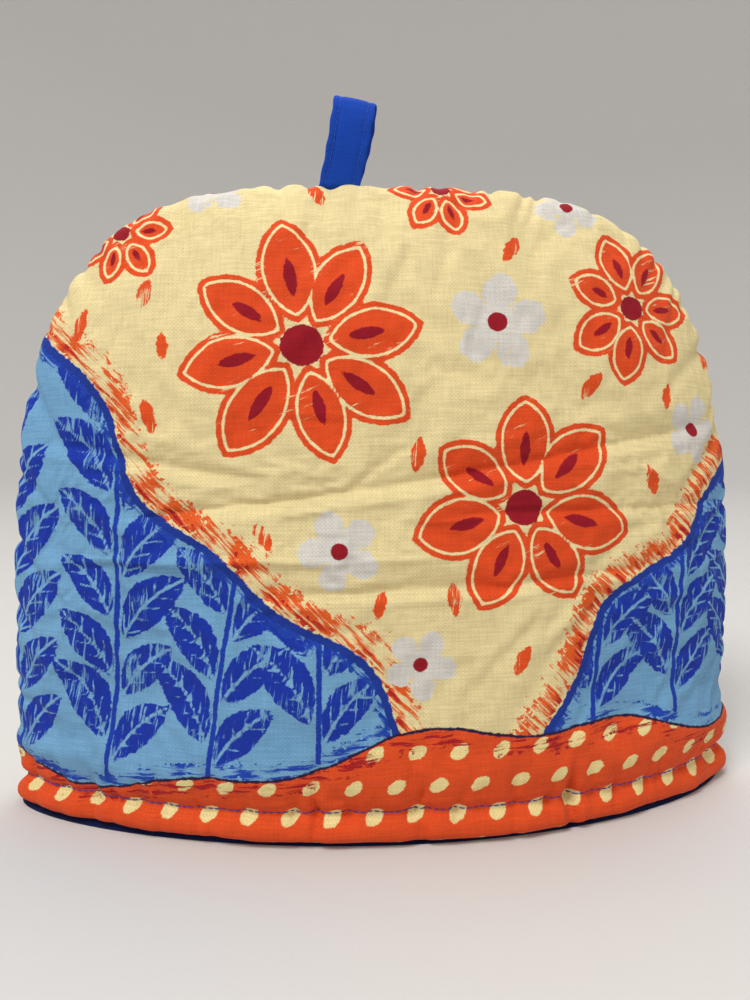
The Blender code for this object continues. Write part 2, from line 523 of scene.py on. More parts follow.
@dataclass(frozen=True)
class FloralPrint:
    """A generic kitchen print: waves of orange and of blue leaves under yellow with daisies."""

    blooms: tuple[Bloom, ...] = (
        Bloom(-36, 204, 52, 8, 12),
        Bloom(54, 138, 46, 7, 40),
        Bloom(106, 222, 34, 7, 5),
        Bloom(24, 276, 25, 7, 30),
        Bloom(-112, 254, 24, 7, 50),
    )
    blossoms: tuple[Speck, ...] = (
        Speck(44, 214, 21, 10),
        Speck(-22, 122, 17, 40),
        Speck(138, 170, 16, 0),
        Speck(-74, 276, 16, 25),
        Speck(10, 76, 15, 60),
        Speck(80, 268, 15, 45),
    )
    dabs: tuple[Speck, ...] = (
        Speck(-128, 214, 7.5, 70),
        Speck(-30, 272, 7.5, 115),
        Speck(10, 160, 7.5, 80),
        Speck(-98, 176, 7.5, 105),
        Speck(52, 246, 7.5, 60),
        Speck(24, 102, 7.0, 95),
        Speck(84, 188, 7.5, 50),
        Speck(112, 148, 7.0, 110),
        Speck(-100, 226, 7.0, 75),
        Speck(-52, 128, 7.0, 120),
        Speck(150, 204, 7.0, 70),
        Speck(52, 76, 7.0, 60),
        Speck(-92, 204, 6.0, 95),
        Speck(122, 184, 6.0, 75),
        Speck(-6, 100, 6.0, 75),
    )
    sprigs: tuple[Sprig, ...] = (
        Sprig(-166, 22, 90, 230, 0.03),
        Sprig(-121, 24, 83, 190, 0.04),
        Sprig(-76, 26, 84, 150, -0.05),
        Sprig(-31, 36, 88, 90, 0.05),
        Sprig(84, 42, 84, 80, 0.05),
        Sprig(128, 44, 92, 130, -0.05),
        Sprig(170, 44, 86, 150, 0.04),
    )
    leaf_pitch: float = 26.0
    leaf_length: float = 18.5
    leaf_width: float = 8.4
    vein_pitch: float = 7.0
    dot_pitch: float = 17.0

    def fields(self, x: np.ndarray, z: np.ndarray) -> np.ndarray:
        """The large fields of colour.

        Args:
            x: places across the cloth.
            z: places up the cloth.

        Returns:
            Distances into the blue fields, the orange one, and the latter's dots.
        """
        along, over = turned(x + 178, z - 238, -47)
        left = 8 * np.sin(along / 29) + 3.5 * np.sin(along / 12 + 1) - over
        along, over = turned(x - 178, z - 186, 50)
        right = 7 * np.sin(along / 25 + 0.5) + 3 * np.sin(along / 11) - over
        orange = 38 + 0.05 * x + 9 * np.sin((x + 40) / 45) + 3.5 * np.sin(x / 15 + 1) - z
        dots = np.full_like(x, -50.0)
        step = self.dot_pitch
        row = np.round(z / step / 0.8)
        for j in (-1, 0, 1):
            at_z = (row + j) * step * 0.8
            shift = (row + j) * step / 2
            column = np.round((x - shift) / step)
            for i in (-1, 0, 1):
                dx, dz = turned(x - (column + i) * step - shift, z - at_z, 35)
                dots = np.maximum(dots, 3.0 - np.hypot(dx * 0.72, dz * 1.1))
        return np.stack([np.maximum(left, right), orange, dots], axis=-1)

    def leaves(self, x: np.ndarray, z: np.ndarray) -> np.ndarray:
        """The sprigs of leaves.

        Args:
            x: places across the cloth.
            z: places up the cloth.

        Returns:
            Distances into the leaves, off their ribs and veins, and off the stems.
        """
        leaf = np.full_like(x, -50.0)
        veins = np.full_like(x, 50.0)
        stem = np.full_like(x, 50.0)
        for sprig in self.sprigs:
            along, over = turned(x - sprig.across, z - sprig.up, sprig.heading)
            over = over - sprig.bend * along * along / 100
            on_stem = (along > 0) & (along < sprig.length)
            stem = np.where(on_stem, np.minimum(stem, np.abs(over)), stem)
            for i in range(int(sprig.length / self.leaf_pitch)):
                for side in (-1, 1):
                    place = (i + 0.55 + 0.16 * side) * self.leaf_pitch
                    slope = math.degrees(2 * sprig.bend * place / 100)
                    at_z = over + sprig.bend * (along * along - place * place) / 100
                    slope = slope + side * (40 + 4 * math.sin(7.0 * i))
                    lx, ly = turned(along - place, at_z, slope)
                    size = 1 + 0.10 * math.sin(5.0 * i + side)
                    lx = lx - self.leaf_length * size - 1.5
                    ly = ly - side * 0.010 * lx * lx + side * 1.2
                    shape = lens(lx, ly, self.leaf_length * size, self.leaf_width * size)
                    slant = (lx - 1.2 * np.abs(ly)) / self.vein_pitch
                    vein = 0.64 * self.vein_pitch * np.abs(slant - np.floor(slant) - 0.5)
                    vein = np.where(np.abs(ly) < 0.62 * self.leaf_width, vein + 0.25, 50.0)
                    veins = np.where(shape > leaf, np.minimum(np.abs(ly), vein), veins)
                    leaf = np.maximum(leaf, shape)
        return np.stack([leaf, veins, stem], axis=-1)

    def daisies(self, x: np.ndarray, z: np.ndarray) -> np.ndarray:
        """The large daisies.

        Args:
            x: places across the cloth.
            z: places up the cloth.

        Returns:
            Distances into the petals, the marks on them, and the hearts.
        """
        petal, mark, heart = (np.full_like(x, -50.0) for _ in range(3))
        for bloom in self.blooms:
            bx, bz = x - bloom.across, z - bloom.up
            heart = np.maximum(heart, 0.17 * bloom.radius - np.hypot(bx, bz * 1.08))
            for i in range(bloom.petals):
                wobble = math.sin(2.4 * i + bloom.turn)
                px, pz = turned(bx, bz, bloom.turn + 360 / bloom.petals * i + 3 * wobble)
                size = bloom.radius * (1 + 0.06 * math.sin(4.1 * i + bloom.turn))
                width = 0.62 * math.pi / bloom.petals * size
                petal = np.maximum(petal, lens(px - 0.58 * size, pz, 0.42 * size, width))
                mark = np.maximum(mark, lens(px - 0.52 * size, pz, 0.16 * size, 0.048 * size))
        return np.stack([petal, mark, heart], axis=-1)

    def sprinkles(self, x: np.ndarray, z: np.ndarray) -> np.ndarray:
        """The small motifs between the daisies.

        Args:
            x: places across the cloth.
            z: places up the cloth.

        Returns:
            Distances into the small blossoms, their hearts, and the dabs.
        """
        blossom, heart, dab = (np.full_like(x, -50.0) for _ in range(3))
        for speck in self.blossoms:
            away = np.hypot(x - speck.across, z - speck.up)
            blossom = np.maximum(blossom, 0.42 * speck.size - away)
            heart = np.maximum(heart, 0.20 * speck.size - away)
            for i in range(5):
                bx, bz = turned(x - speck.across, z - speck.up, speck.turn + 72 * i)
                round_petal = np.hypot(bx - 0.62 * speck.size, 1.08 * bz)
                blossom = np.maximum(blossom, 0.36 * speck.size - round_petal)
        for speck in self.dabs:
            dx, dz = turned(x - speck.across, z - speck.up, speck.turn)
            dab = np.maximum(dab, lens(dx, dz, speck.size, 0.40 * speck.size))
        return np.stack([blossom, heart, dab], axis=-1)

    def channels(self, across: np.ndarray, up: np.ndarray) -> dict[str, np.ndarray]:
        """Works out the whole print.

        Args:
            across: places across the cloth, in metres.
            up: places up the cloth, in metres.

        Returns:
            Three distances in millimetres for each place, by the attribute's name.
        """
        x, z = across / MM, up / MM
        return {
            FIELDS: self.fields(x, z),
            LEAVES: self.leaves(x, z),
            BLOOMS: self.daisies(x, z),
            SPRINKLES: self.sprinkles(x, z),
        }


# Finishes


def add_node(
    tree: bpy.types.NodeTree, kind: str, inputs: dict, **settings: object
) -> bpy.types.Node:
    """Adds a node with its settings, values and links.

    Args:
        tree: the material's or the modifier's node tree.
        kind: the node's type.
        inputs: what each socket, by name or number, is set to or linked from.
        **settings: properties of the node.

    Returns:
        The new node.
    """
    node = tree.nodes.new(kind)
    for name, value in settings.items():
        setattr(node, name, value)
    for socket, value in inputs.items():
        if isinstance(value, bpy.types.NodeSocket):
            tree.links.new(value, node.inputs[socket])
        else:
            node.inputs[socket].default_value = value
    return node


class Graph:
    """The node tree of one material while it is being made."""

    def __init__(self, name: str) -> None:
        """Starts a material that has only its shader and its output."""
        self.material = bpy.data.materials.new(name)
        self.material.use_nodes = True
        self.tree = self.material.node_tree
        self.shader = self.tree.nodes["Principled BSDF"]
        self.named: dict[str, bpy.types.NodeSocket] = {}  # what later nodes ask for

    def add(self, kind: str, inputs: dict, **settings: object) -> bpy.types.Node:
        """Adds a shader node, of a type given without its leading "ShaderNode"."""
        return add_node(self.tree, "ShaderNode" + kind, inputs, **settings)

    def cloth_place(self) -> bpy.types.NodeSocket:
        """The place on the flat cloth, in millimetres."""
        cloth = self.add("UVMap", {}, uv_map=CLOTH_MAP).outputs[0]
        return self.add("VectorMath", {0: cloth, "Scale": 1 / MM}, operation="SCALE").outputs[0]

    def finish(
        self, colour: bpy.types.NodeSocket, normal: bpy.types.NodeSocket, **plain: float
    ) -> bpy.types.Material:
        """Completes the shader.

        Args:
            colour: what to link its base colour from.
            normal: what to link its normal from.
            **plain: values of its other sockets, with _ for each space in a name.

        Returns:
            The finished material.
        """
        self.tree.links.new(colour, self.shader.inputs["Base Color"])
        self.tree.links.new(normal, self.shader.inputs["Normal"])
        for name, value in plain.items():
            self.shader.inputs[name.replace("_", " ")].default_value = value
        return self.material


@dataclass(frozen=True)
class Weave:
    """A plain weave: threads that pass over and under each other by turns.

    Real cotton has a thread each 0.4 mm, too fine to show, so it is drawn coarser.
    """

    pitch_mm: float = 0.8
    height_mm: float = 0.09
    strength: float = 0.8

    def threads(self, graph: Graph, place: bpy.types.NodeSocket) -> bpy.types.NodeSocket:
        """Draws the threads.

        Args:
            graph: the material that is being made.
            place: the place on the cloth, in millimetres.

        Returns:
            The height of the weave, from 0 to 1.
        """
        slubs = graph.add("TexNoise", {"Vector": place, "Scale": 0.25, "Detail": 2.0})
        shifted = graph.add(
            "VectorMath",
            {0: slubs.outputs["Color"], 1: (0.8, 0.8, 0.0), 2: place},
            operation="MULTIPLY_ADD",
        )
        turns = graph.add(
            "VectorMath",
            {0: shifted.outputs[0], "Scale": math.pi / self.pitch_mm},
            operation="SCALE",
        )
        waves = graph.add("VectorMath", {0: turns.outputs[0]}, operation="SINE")
        split = graph.add("SeparateXYZ", {0: waves.outputs[0]})
        over = graph.add("Math", {0: split.outputs[0], 1: split.outputs[1]}, operation="MULTIPLY")
        crown = graph.add("Math", {0: over.outputs[0], 1: 0.5, 2: 0.5}, operation="MULTIPLY_ADD")
        return crown.outputs[0]

    def bump(self, graph: Graph, threads: bpy.types.NodeSocket) -> bpy.types.NodeSocket:
        """The surface normal of the weave."""
        sizes = {"Distance": self.height_mm * MM, "Strength": self.strength}
        return graph.add("Bump", {"Height": threads, **sizes}).outputs[0]


@dataclass(frozen=True)
class Ink:
    """One printed layer: where it lies, its colour, and how brushy it is. Millimetres."""

    colour: str
    channel: str
    index: int
    ragged: float  # how far its edge wanders
    line: float = 0.0  # half the width of a drawn line, or 0 for a filled shape
    offset: float = 0.0  # the line runs this far inside the shape's edge
    worn: float = 0.0  # share of it where the brush ran dry
    stroke: float = 90.0  # direction of the brush, in degrees
    inside: str = ""  # the field or shape that it keeps to, or "yellow" or "sky"


# Cotton is matt, with a faint sheen from its fibres and hardly any gloss
MATT_COTTON = {
    "Roughness": 0.88,
    "Sheen_Weight": 0.04,
    "Sheen_Roughness": 0.5,
    "IOR": 1.45,
    "Specular_IOR_Level": 0.2,
}


@dataclass(frozen=True)
class PrintedCotton:
    """Plain-weave cotton, screen printed with flat inks over a cream yellow ground.

    It looks matt, with threads and slubs just to be made out, crisp but hand-drawn edges,
    and streaks where the artist's brush ran dry. The threads show by their bump and by
    painted shade: darker between them and lighter on their crowns.
    """

    ground: str = "#E2D09B"
    weave: Weave = Weave()
    inks: tuple[Ink, ...] = (
        Ink("#71A2C8", FIELDS, 0, 0.5),
        Ink("#1A3AA4", LEAVES, 2, 0.4, line=1.1, inside="blue"),
        Ink("#1733A0", LEAVES, 0, 0.9, worn=0.28, stroke=82, inside="blue"),
        Ink("#76A6C9", LEAVES, 1, 0.35, line=0.6, inside="leaf"),
        Ink("#1E42A8", FIELDS, 0, 3.5, line=2.6, offset=3.0, worn=0.50, stroke=-45, inside="blue"),
        Ink("#DE5A22", FIELDS, 0, 6.0, 5.5, offset=-6.5, worn=0.46, stroke=-45, inside="yellow"),
        Ink("#A81E22", FIELDS, 0, 4.0, 2.4, offset=-3.5, worn=0.66, stroke=-45, inside="yellow"),
        Ink("#1E42A8", FIELDS, 1, 3.5, line=2.8, offset=-3.2, worn=0.50, stroke=4, inside="blue"),
        Ink("#E05022", FIELDS, 1, 0.5),
        Ink("#EBD796", FIELDS, 2, 0.5, worn=0.12, stroke=20, inside="orange"),
        Ink("#A51C22", FIELDS, 1, 4.5, line=3.2, offset=4.0, worn=0.60, stroke=4, inside="orange"),
        Ink("#D3CEC6", SPRINKLES, 0, 1.4, worn=0.12, stroke=60),
        Ink("#931222", SPRINKLES, 1, 0.2),
        Ink("#DC4E1E", SPRINKLES, 2, 0.9, worn=0.30, stroke=82, inside="yellow"),
        Ink("#DC4B1E", BLOOMS, 0, 0.5, worn=0.14, stroke=20),
        Ink("#EBD9A2", BLOOMS, 0, 0.3, line=0.55, offset=2.8, inside="petal"),
        Ink("#901021", BLOOMS, 1, 0.4),
        Ink("#931222", BLOOMS, 2, 0.6),
        Ink("#1B3690", FIELDS, 0, 0.7, line=1.7, offset=0.6, inside="sky"),
        Ink("#2A1A3A", FIELDS, 1, 0.45, line=0.6),
    )
    # Scale, detail, darkest and lightest of the blotches and of the slubs each way
    uneven: tuple[tuple, ...] = (
        ((0.03, 0.03, 0.03), 3.0, 0.94, 1.03),
        ((0.07, 1.3, 1.0), 3.0, 0.86, 1.05),
        ((1.15, 0.10, 1.0), 3.0, 0.93, 1.05),
    )

    def material(self, name: str) -> bpy.types.Material:
        """Builds the material.

        Args:
            name: the new material's name.

        Returns:
            A material that reads the panel's cloth map and print attributes.
        """
        graph = Graph(name)
        place = graph.cloth_place()
        coarse = {"Vector": place, "Scale": 0.35, "Detail": 4.0, "Roughness": 0.65}
        wander = graph.add("TexNoise", coarse).outputs["Fac"]
        wander = graph.add("Math", {0: wander, 1: 0.5}, operation="SUBTRACT").outputs[0]
        wet = graph.add("TexNoise", {"Vector": place, "Scale": 0.07, "Detail": 2.0}).outputs["Fac"]
        graph.named = {"place": place, "wander": wander, "wet": wet}
        channels = {}
        for channel in (FIELDS, LEAVES, BLOOMS, SPRINKLES):
            read = graph.add("Attribute", {}, attribute_name=channel)
            channels[channel] = graph.add("SeparateXYZ", {0: read.outputs["Vector"]}).outputs
        colour = graph.add("RGB", {}).outputs[0]
        colour.default_value = linear(self.ground)
        for ink in self.inks:
            mask = self.shape(graph, ink, channels[ink.channel][ink.index])
            for other in (self.brushed(graph, ink), self.kept(graph, ink)):
                if other:
                    mask = graph.add("Math", {0: mask, 1: other}, operation="MULTIPLY").outputs[0]
            self.remember(graph, ink, mask)
            layers = {0: mask, MIX_A: colour, MIX_B: linear(ink.colour)}
            colour = graph.add("Mix", layers, data_type="RGBA").outputs[MIX_OUT]
        return self.dressed(graph, colour)

    def shape(
        self, graph: Graph, ink: Ink, distance: bpy.types.NodeSocket
    ) -> bpy.types.NodeSocket:
        """Where an ink's shape or line lies, with an edge that wanders.

        Args:
            graph: the material that is being made.
            ink: the printed layer.
            distance: distance into its shape.

        Returns:
            A mask from 0 to 1.
        """
        if ink.line:
            moved = graph.add("Math", {0: distance, 1: ink.offset}, operation="SUBTRACT")
            away = graph.add("Math", {0: moved.outputs[0]}, operation="ABSOLUTE")
            inside = graph.add("Math", {0: ink.line, 1: away.outputs[0]}, operation="SUBTRACT")
            distance = inside.outputs[0]
        ragged = {0: graph.named["wander"], 1: 4 * ink.ragged, 2: distance}
        rough = graph.add("Math", ragged, operation="MULTIPLY_ADD").outputs[0]
        edge = {"Value": rough, "From Min": -0.25, "From Max": 0.25}
        return graph.add("MapRange", edge, interpolation_type="SMOOTHSTEP").outputs[0]

    def brushed(self, graph: Graph, ink: Ink) -> bpy.types.NodeSocket | None:
        """Where the brush left ink, in streaks along its stroke.

        Args:
            graph: the material that is being made.
            ink: the printed layer.

        Returns:
            A mask from 0 to 1, or None for an ink that never ran dry.
        """
        if not ink.worn:
            return None
        name = f"stroke {ink.stroke}"
        if name not in graph.named:
            stroke = {"Vector": graph.named["place"], "Rotation": (0, 0, math.radians(-ink.stroke))}
            along = graph.add("Mapping", stroke).outputs[0]
            streaks = graph.add("Mapping", {"Vector": along, "Scale": (0.05, 0.55, 1.0)}).outputs[0]
            fine = {"Vector": streaks, "Scale": 1.0, "Detail": 5.0, "Roughness": 0.72}
            bristles = graph.add("TexNoise", fine).outputs["Fac"]
            wet = {0: graph.named["wet"], 1: 0.55, 2: bristles}
            graph.named[name] = graph.add("Math", wet, operation="MULTIPLY_ADD").outputs[0]
        dry = 0.525 + 0.5 * ink.worn
        edge = {"Value": graph.named[name], "From Min": dry - 0.03, "From Max": dry + 0.03}
        return graph.add("MapRange", edge).outputs[0]

    def kept(self, graph: Graph, ink: Ink) -> bpy.types.NodeSocket | None:
        """Where an ink is let lie.

        Args:
            graph: the material that is being made.
            ink: the printed layer.

        Returns:
            The mask of the field or shape that it keeps to, or None if it keeps to none.
        """
        if not ink.inside or ink.inside in graph.named:
            return graph.named.get(ink.inside)
        outside = graph.named["orange" if ink.inside == "sky" else "covered"]
        return graph.add("Math", {0: 1.0, 1: outside}, operation="SUBTRACT").outputs[0]

    def remember(self, graph: Graph, ink: Ink, mask: bpy.types.NodeSocket) -> None:
        """Keeps a mask that later inks ask for.

        Args:
            graph: the material that is being made.
            ink: the printed layer.
            mask: where it lies.
        """
        name = MASK_NAMES.get((ink.channel, ink.index))
        if not name or ink.line:
            return
        graph.named[name] = mask
        if ink.channel == FIELDS:
            if "covered" in graph.named:
                both = {0: graph.named["covered"], 1: mask}
                mask = graph.add("Math", both, operation="MAXIMUM").outputs[0]
            graph.named["covered"] = mask

    def dressed(self, graph: Graph, colour: bpy.types.NodeSocket) -> bpy.types.Material:
        """Adds the unevenness of the inks and the slubs, the weave's bump, and painted shade that
        darkens the weave's low places and lightens its crowns.

        Args:
            graph: the material that is being made.
            colour: the printed colour.

        Returns:
            The finished material.
        """
        place = graph.named["place"]
        threads = self.weave.threads(graph, place)
        # Painted shade: darker in the weave's low places, lighter on its crowns, by thread height
        painted_weave_shade_and_slubs = graph.add("MapRange", {"Value": threads, "To Min": 0.90, "To Max": 1.04}).outputs[0]
        for scale, detail, low, high in self.uneven:
            run = graph.add("Mapping", {"Vector": place, "Scale": scale}).outputs[0]
            noise = graph.add("TexNoise", {"Vector": run, "Scale": 1.0, "Detail": detail})
            span = {"From Min": 0.3, "From Max": 0.7, "To Min": low, "To Max": high}
            tint = graph.add("MapRange", {"Value": noise.outputs["Fac"], **span}).outputs[0]
            painted_weave_shade_and_slubs = graph.add("Math", {0: painted_weave_shade_and_slubs, 1: tint}, operation="MULTIPLY").outputs[0]
        tone = graph.add("HueSaturation", {"Color": colour, "Value": painted_weave_shade_and_slubs}).outputs[0]
        return graph.finish(tone, self.weave.bump(graph, threads), **MATT_COTTON)


@dataclass(frozen=True)
class DyedCotton:
    """Plain-weave cotton, dyed in the piece. It looks matt, with slightly uneven threads and
    painted shade between them.
    """

    colour: str
    # Colour of the slubs and of the painted shade in the weave's low places
    slub_and_painted_shade: str
    weave: Weave = Weave(strength=0.9)

    def material(self, name: str) -> bpy.types.Material:
        """Builds the material.

        Args:
            name: the new material's name.

        Returns:
            A material that reads the piece's cloth map.
        """
        graph = Graph(name)
        place = graph.cloth_place()
        threads = self.weave.threads(graph, place)
        slubs = graph.add("Mapping", {"Vector": place, "Scale": (0.06, 1.1, 1.0)}).outputs[0]
        uneven = graph.add("TexNoise", {"Vector": slubs, "Scale": 1.0, "Detail": 3.0})
        # Painted shade: the colour goes to the darker one in the weave's low places and along the
        # slubs
        both = {0: uneven.outputs["Fac"], 1: threads}
        share = graph.add("Math", both, operation="MULTIPLY").outputs[0]
        level = graph.add("MapRange", {"Value": share, "From Min": 0.1, "From Max": 0.5}).outputs[0]
        layers = {0: level, MIX_A: linear(self.slub_and_painted_shade), MIX_B: linear(self.colour)}
        colour = graph.add("Mix", layers, data_type="RGBA").outputs[MIX_OUT]
        return graph.finish(colour, self.weave.bump(graph, threads), **MATT_COTTON)


@dataclass(frozen=True)
class SewingThread:
    """Spun polyester thread. Its twist shows as a fine slanting line of bump and painted shade,
    with a slight gloss.
    """

    colour: str

    def material(self, name: str) -> bpy.types.Material:
        """Builds the material.

        Args:
            name: the new material's name.

        Returns:
            A material that reads Object coordinates.
        """
        graph = Graph(name)
        place = graph.add("TexCoord", {}).outputs["Object"]
        waves = {"Vector": place, "Scale": 900.0, "Distortion": 1.0}
        twist = graph.add("TexWave", waves, bands_direction="DIAGONAL").outputs["Fac"]
        # Painted shade in the twist's grooves, painted highlight on its ridges
        level = graph.add("MapRange", {"Value": twist, "To Min": 0.72, "To Max": 1.1}).outputs[0]
        tone = graph.add("HueSaturation", {"Color": linear(self.colour), "Value": level}).outputs[0]
        ridge = {"Height": twist, "Distance": 0.05 * MM, "Strength": 0.6}
        normal = graph.add("Bump", ridge).outputs[0]
        return graph.finish(tone, normal, Roughness=0.6, Sheen_Weight=0.06, IOR=1.5)


@dataclass(frozen=True)
class StudioPaper:
    """Matt background paper. It is even, with a grain that hardly shows."""

    colour: str = "#CDCBC8"

    def material(self, name: str) -> bpy.types.Material:
        """Builds the material.

        Args:
            name: the new material's name.

        Returns:
            A material that reads Object coordinates.
        """
        graph = Graph(name)
        place = graph.add("TexCoord", {}).outputs["Object"]
        noise = graph.add("TexNoise", {"Vector": place, "Scale": 900.0, "Detail": 2.0})
        grain = noise.outputs["Fac"]
        tone = graph.add("MapRange", {"Value": grain, "To Min": 0.97, "To Max": 1.02}).outputs[0]
        colour = graph.add("HueSaturation", {"Color": linear(self.colour), "Value": tone})
        tooth = {"Height": grain, "Distance": 0.05 * MM, "Strength": 0.3}
        normal = graph.add("Bump", tooth).outputs[0]
        return graph.finish(colour.outputs[0], normal, Roughness=0.9)


# Pieces


def mesh_object(
    name: str, points: np.ndarray, faces: list, material: bpy.types.Material
) -> bpy.types.Object:
    """Makes a smooth object of points and faces, at the origin.

    Args:
        name: the object's name.
        points: one row of x, y and z for each vertex.
        faces: tuples of vertex numbers.
        material: its only material.

    Returns:
        The object, linked to the scene.
    """
    mesh = bpy.data.meshes.new(name)
    mesh.from_pydata(points.tolist(), [], faces)
    mesh.validate()
    mesh.materials.append(material)
    mesh.shade_smooth()
    made = bpy.data.objects.new(name, mesh)
    bpy.context.scene.collection.objects.link(made)
    return made


def face_outwards(piece: bpy.types.Object) -> None:
    """Turns the faces of a closed mesh outwards.

    Args:
        piece: the object whose mesh is put right.
    """
    bm = bmesh.new()
    bm.from_mesh(piece.data)
    bmesh.ops.recalc_face_normals(bm, faces=bm.faces[:])
    bm.to_mesh(piece.data)
    bm.free()


def set_cloth_map(piece: bpy.types.Object, flat: np.ndarray) -> None:
    """Gives a mesh its cloth map.

    Args:
        piece: the object that gets it.
        flat: a place on the flat cloth, in metres, for each vertex.
    """
    mesh = piece.data
    corners = np.empty(len(mesh.loops), dtype=np.int32)
    mesh.loops.foreach_get("vertex_index", corners)
    layer = mesh.uv_layers.new(name=CLOTH_MAP)
    layer.data.foreach_set("uv", flat[corners].astype(np.float32).ravel())


def shell_faces(outer: tuple[int, int], step: int) -> list[tuple[int, ...]]:
    """Faces of a closed shell between a fine outer grid and a coarser inner one.

    Args:
        outer: rows and columns of the outer grid's points.
        step: the inner grid keeps each of so many of them.

    Returns:
        Faces that count the outer grid's points first, row by row, and then the inner ones.
    """
    rows, columns = outer
    inner_columns = (columns - 1) // step + 1
    start = rows * columns

    def out_at(j: int, i: int) -> int:
        """Number of an outer point."""
        return j * columns + i

    def in_at(j: int, i: int) -> int:
        """Number of the inner point at an outer place."""
        return start + j // step * inner_columns + i // step

    faces = []
    for j in range(rows - 1):
        for i in range(columns - 1):
            faces.append((out_at(j, i), out_at(j, i + 1), out_at(j + 1, i + 1), out_at(j + 1, i)))
    for j in range(0, rows - 1, step):
        for i in range(0, columns - 1, step):
            corners = [(j, i), (j + step, i), (j + step, i + step), (j, i + step)]
            faces.append(tuple(in_at(*c) for c in corners))
    rim = [(0, i) for i in range(columns - 1)]
    rim += [(j, columns - 1) for j in range(rows - 1)]
    rim += [(rows - 1, i) for i in range(columns - 1, 0, -1)]
    rim += [(j, 0) for j in range(rows - 1, 0, -1)]
    for k in range(0, len(rim), step):
        run = [rim[(k + m) % len(rim)] for m in range(step + 1)]
        faces.append((in_at(*run[0]), in_at(*run[-1]), *(out_at(*p) for p in reversed(run))))
    return faces


@dataclass(frozen=True)
class Settling:
    """How a panel's cloth wrinkles as it settles, a little too long for its form."""

    frames: int = 20
    quality: int = 6
    spare: float = 0.019  # share of its length
    pressure: float = 4.0
    hold: float = 0.10
    bending: float = 0.12
    stiffness: float = 15.0
    cap: float = 0.0024  # no wrinkle is higher

    def sheet(self, points: np.ndarray, sewn: np.ndarray) -> bpy.types.Object:
        """Makes a grid of cloth that is held fast where it is sewn, and lightly elsewhere.

        Args:
            points: the grid's points.
            sewn: which of them stitches hold.

        Returns:
            The cloth, before it moves.
        """
        rows, columns = sewn.shape
        faces = [
            (j * columns + i, j * columns + i + 1, (j + 1) * columns + i + 1, (j + 1) * columns + i)
            for j in range(rows - 1)
            for i in range(columns - 1)
        ]
        plain = bpy.data.materials.new("settling")
        piece = mesh_object("settling", points.reshape(-1, 3), faces, plain)
        group = piece.vertex_groups.new(name="sewn")
        held = sewn.ravel()
        group.add(np.flatnonzero(held).tolist(), 1.0, "REPLACE")
        group.add(np.flatnonzero(~held).tolist(), self.hold, "REPLACE")
        return piece

    def run(self, points: np.ndarray, sewn: np.ndarray) -> np.ndarray:
        """Simulates the cloth.

        Args:
            points: the grid's points, with their true Y.
            sewn: which of them stitches hold.

        Returns:
            How far each point moves.
        """
        piece = self.sheet(points, sewn)
        cloth = piece.modifiers.new("cloth", "CLOTH")
        settings = cloth.settings
        settings.quality = self.quality
        settings.effector_weights.gravity = 0.0
        settings.vertex_group_mass = "sewn"
        settings.pin_stiffness = 1.0
        settings.shrink_min = -self.spare
        settings.use_pressure = True
        settings.uniform_pressure_force = self.pressure
        settings.tension_stiffness = self.stiffness
        settings.compression_stiffness = self.stiffness
        settings.shear_stiffness = self.stiffness / 3
        settings.bending_stiffness = self.bending
        cloth.point_cache.frame_start = 1
        cloth.point_cache.frame_end = self.frames
        scene = bpy.context.scene
        for frame_number in range(1, self.frames + 1):
            scene.frame_set(frame_number)
        settled = piece.evaluated_get(bpy.context.evaluated_depsgraph_get()).to_mesh()
        places = np.empty(points.size)
        settled.vertices.foreach_get("co", places)
        bpy.data.objects.remove(piece)
        scene.frame_set(1)
        return places.reshape(points.shape) - points


def carried(values: np.ndarray, coarse: Grid, fine: Grid) -> np.ndarray:
    """Carries values smoothly from one grid over a panel to another.

    Args:
        values: a value for each point of the first grid.
        coarse: the first grid.
        fine: the second.

    Returns:
        A value for each point of the second.
    """
    for axis, (old, new) in enumerate(((coarse.v, fine.v), (coarse.u, fine.u))):
        last = len(old) - 1
        place = np.interp(new, old, np.arange(last + 1))
        low = np.minimum(place.astype(int), last - 1)
        t = (place - low)[:, None]
        lines = np.moveaxis(values, axis, 0)
        before, start, end, after = (lines[np.clip(low + k, 0, last)] for k in (-1, 0, 1, 2))
        values = (
            (2 * t**2 - t**3 - t) * before
            + (3 * t**3 - 5 * t**2 + 2) * start
            + (4 * t**2 - 3 * t**3 + t) * end
            + (t**3 - t**2) * after
        ) / 2
        values = np.moveaxis(values, 0, axis)
    return values


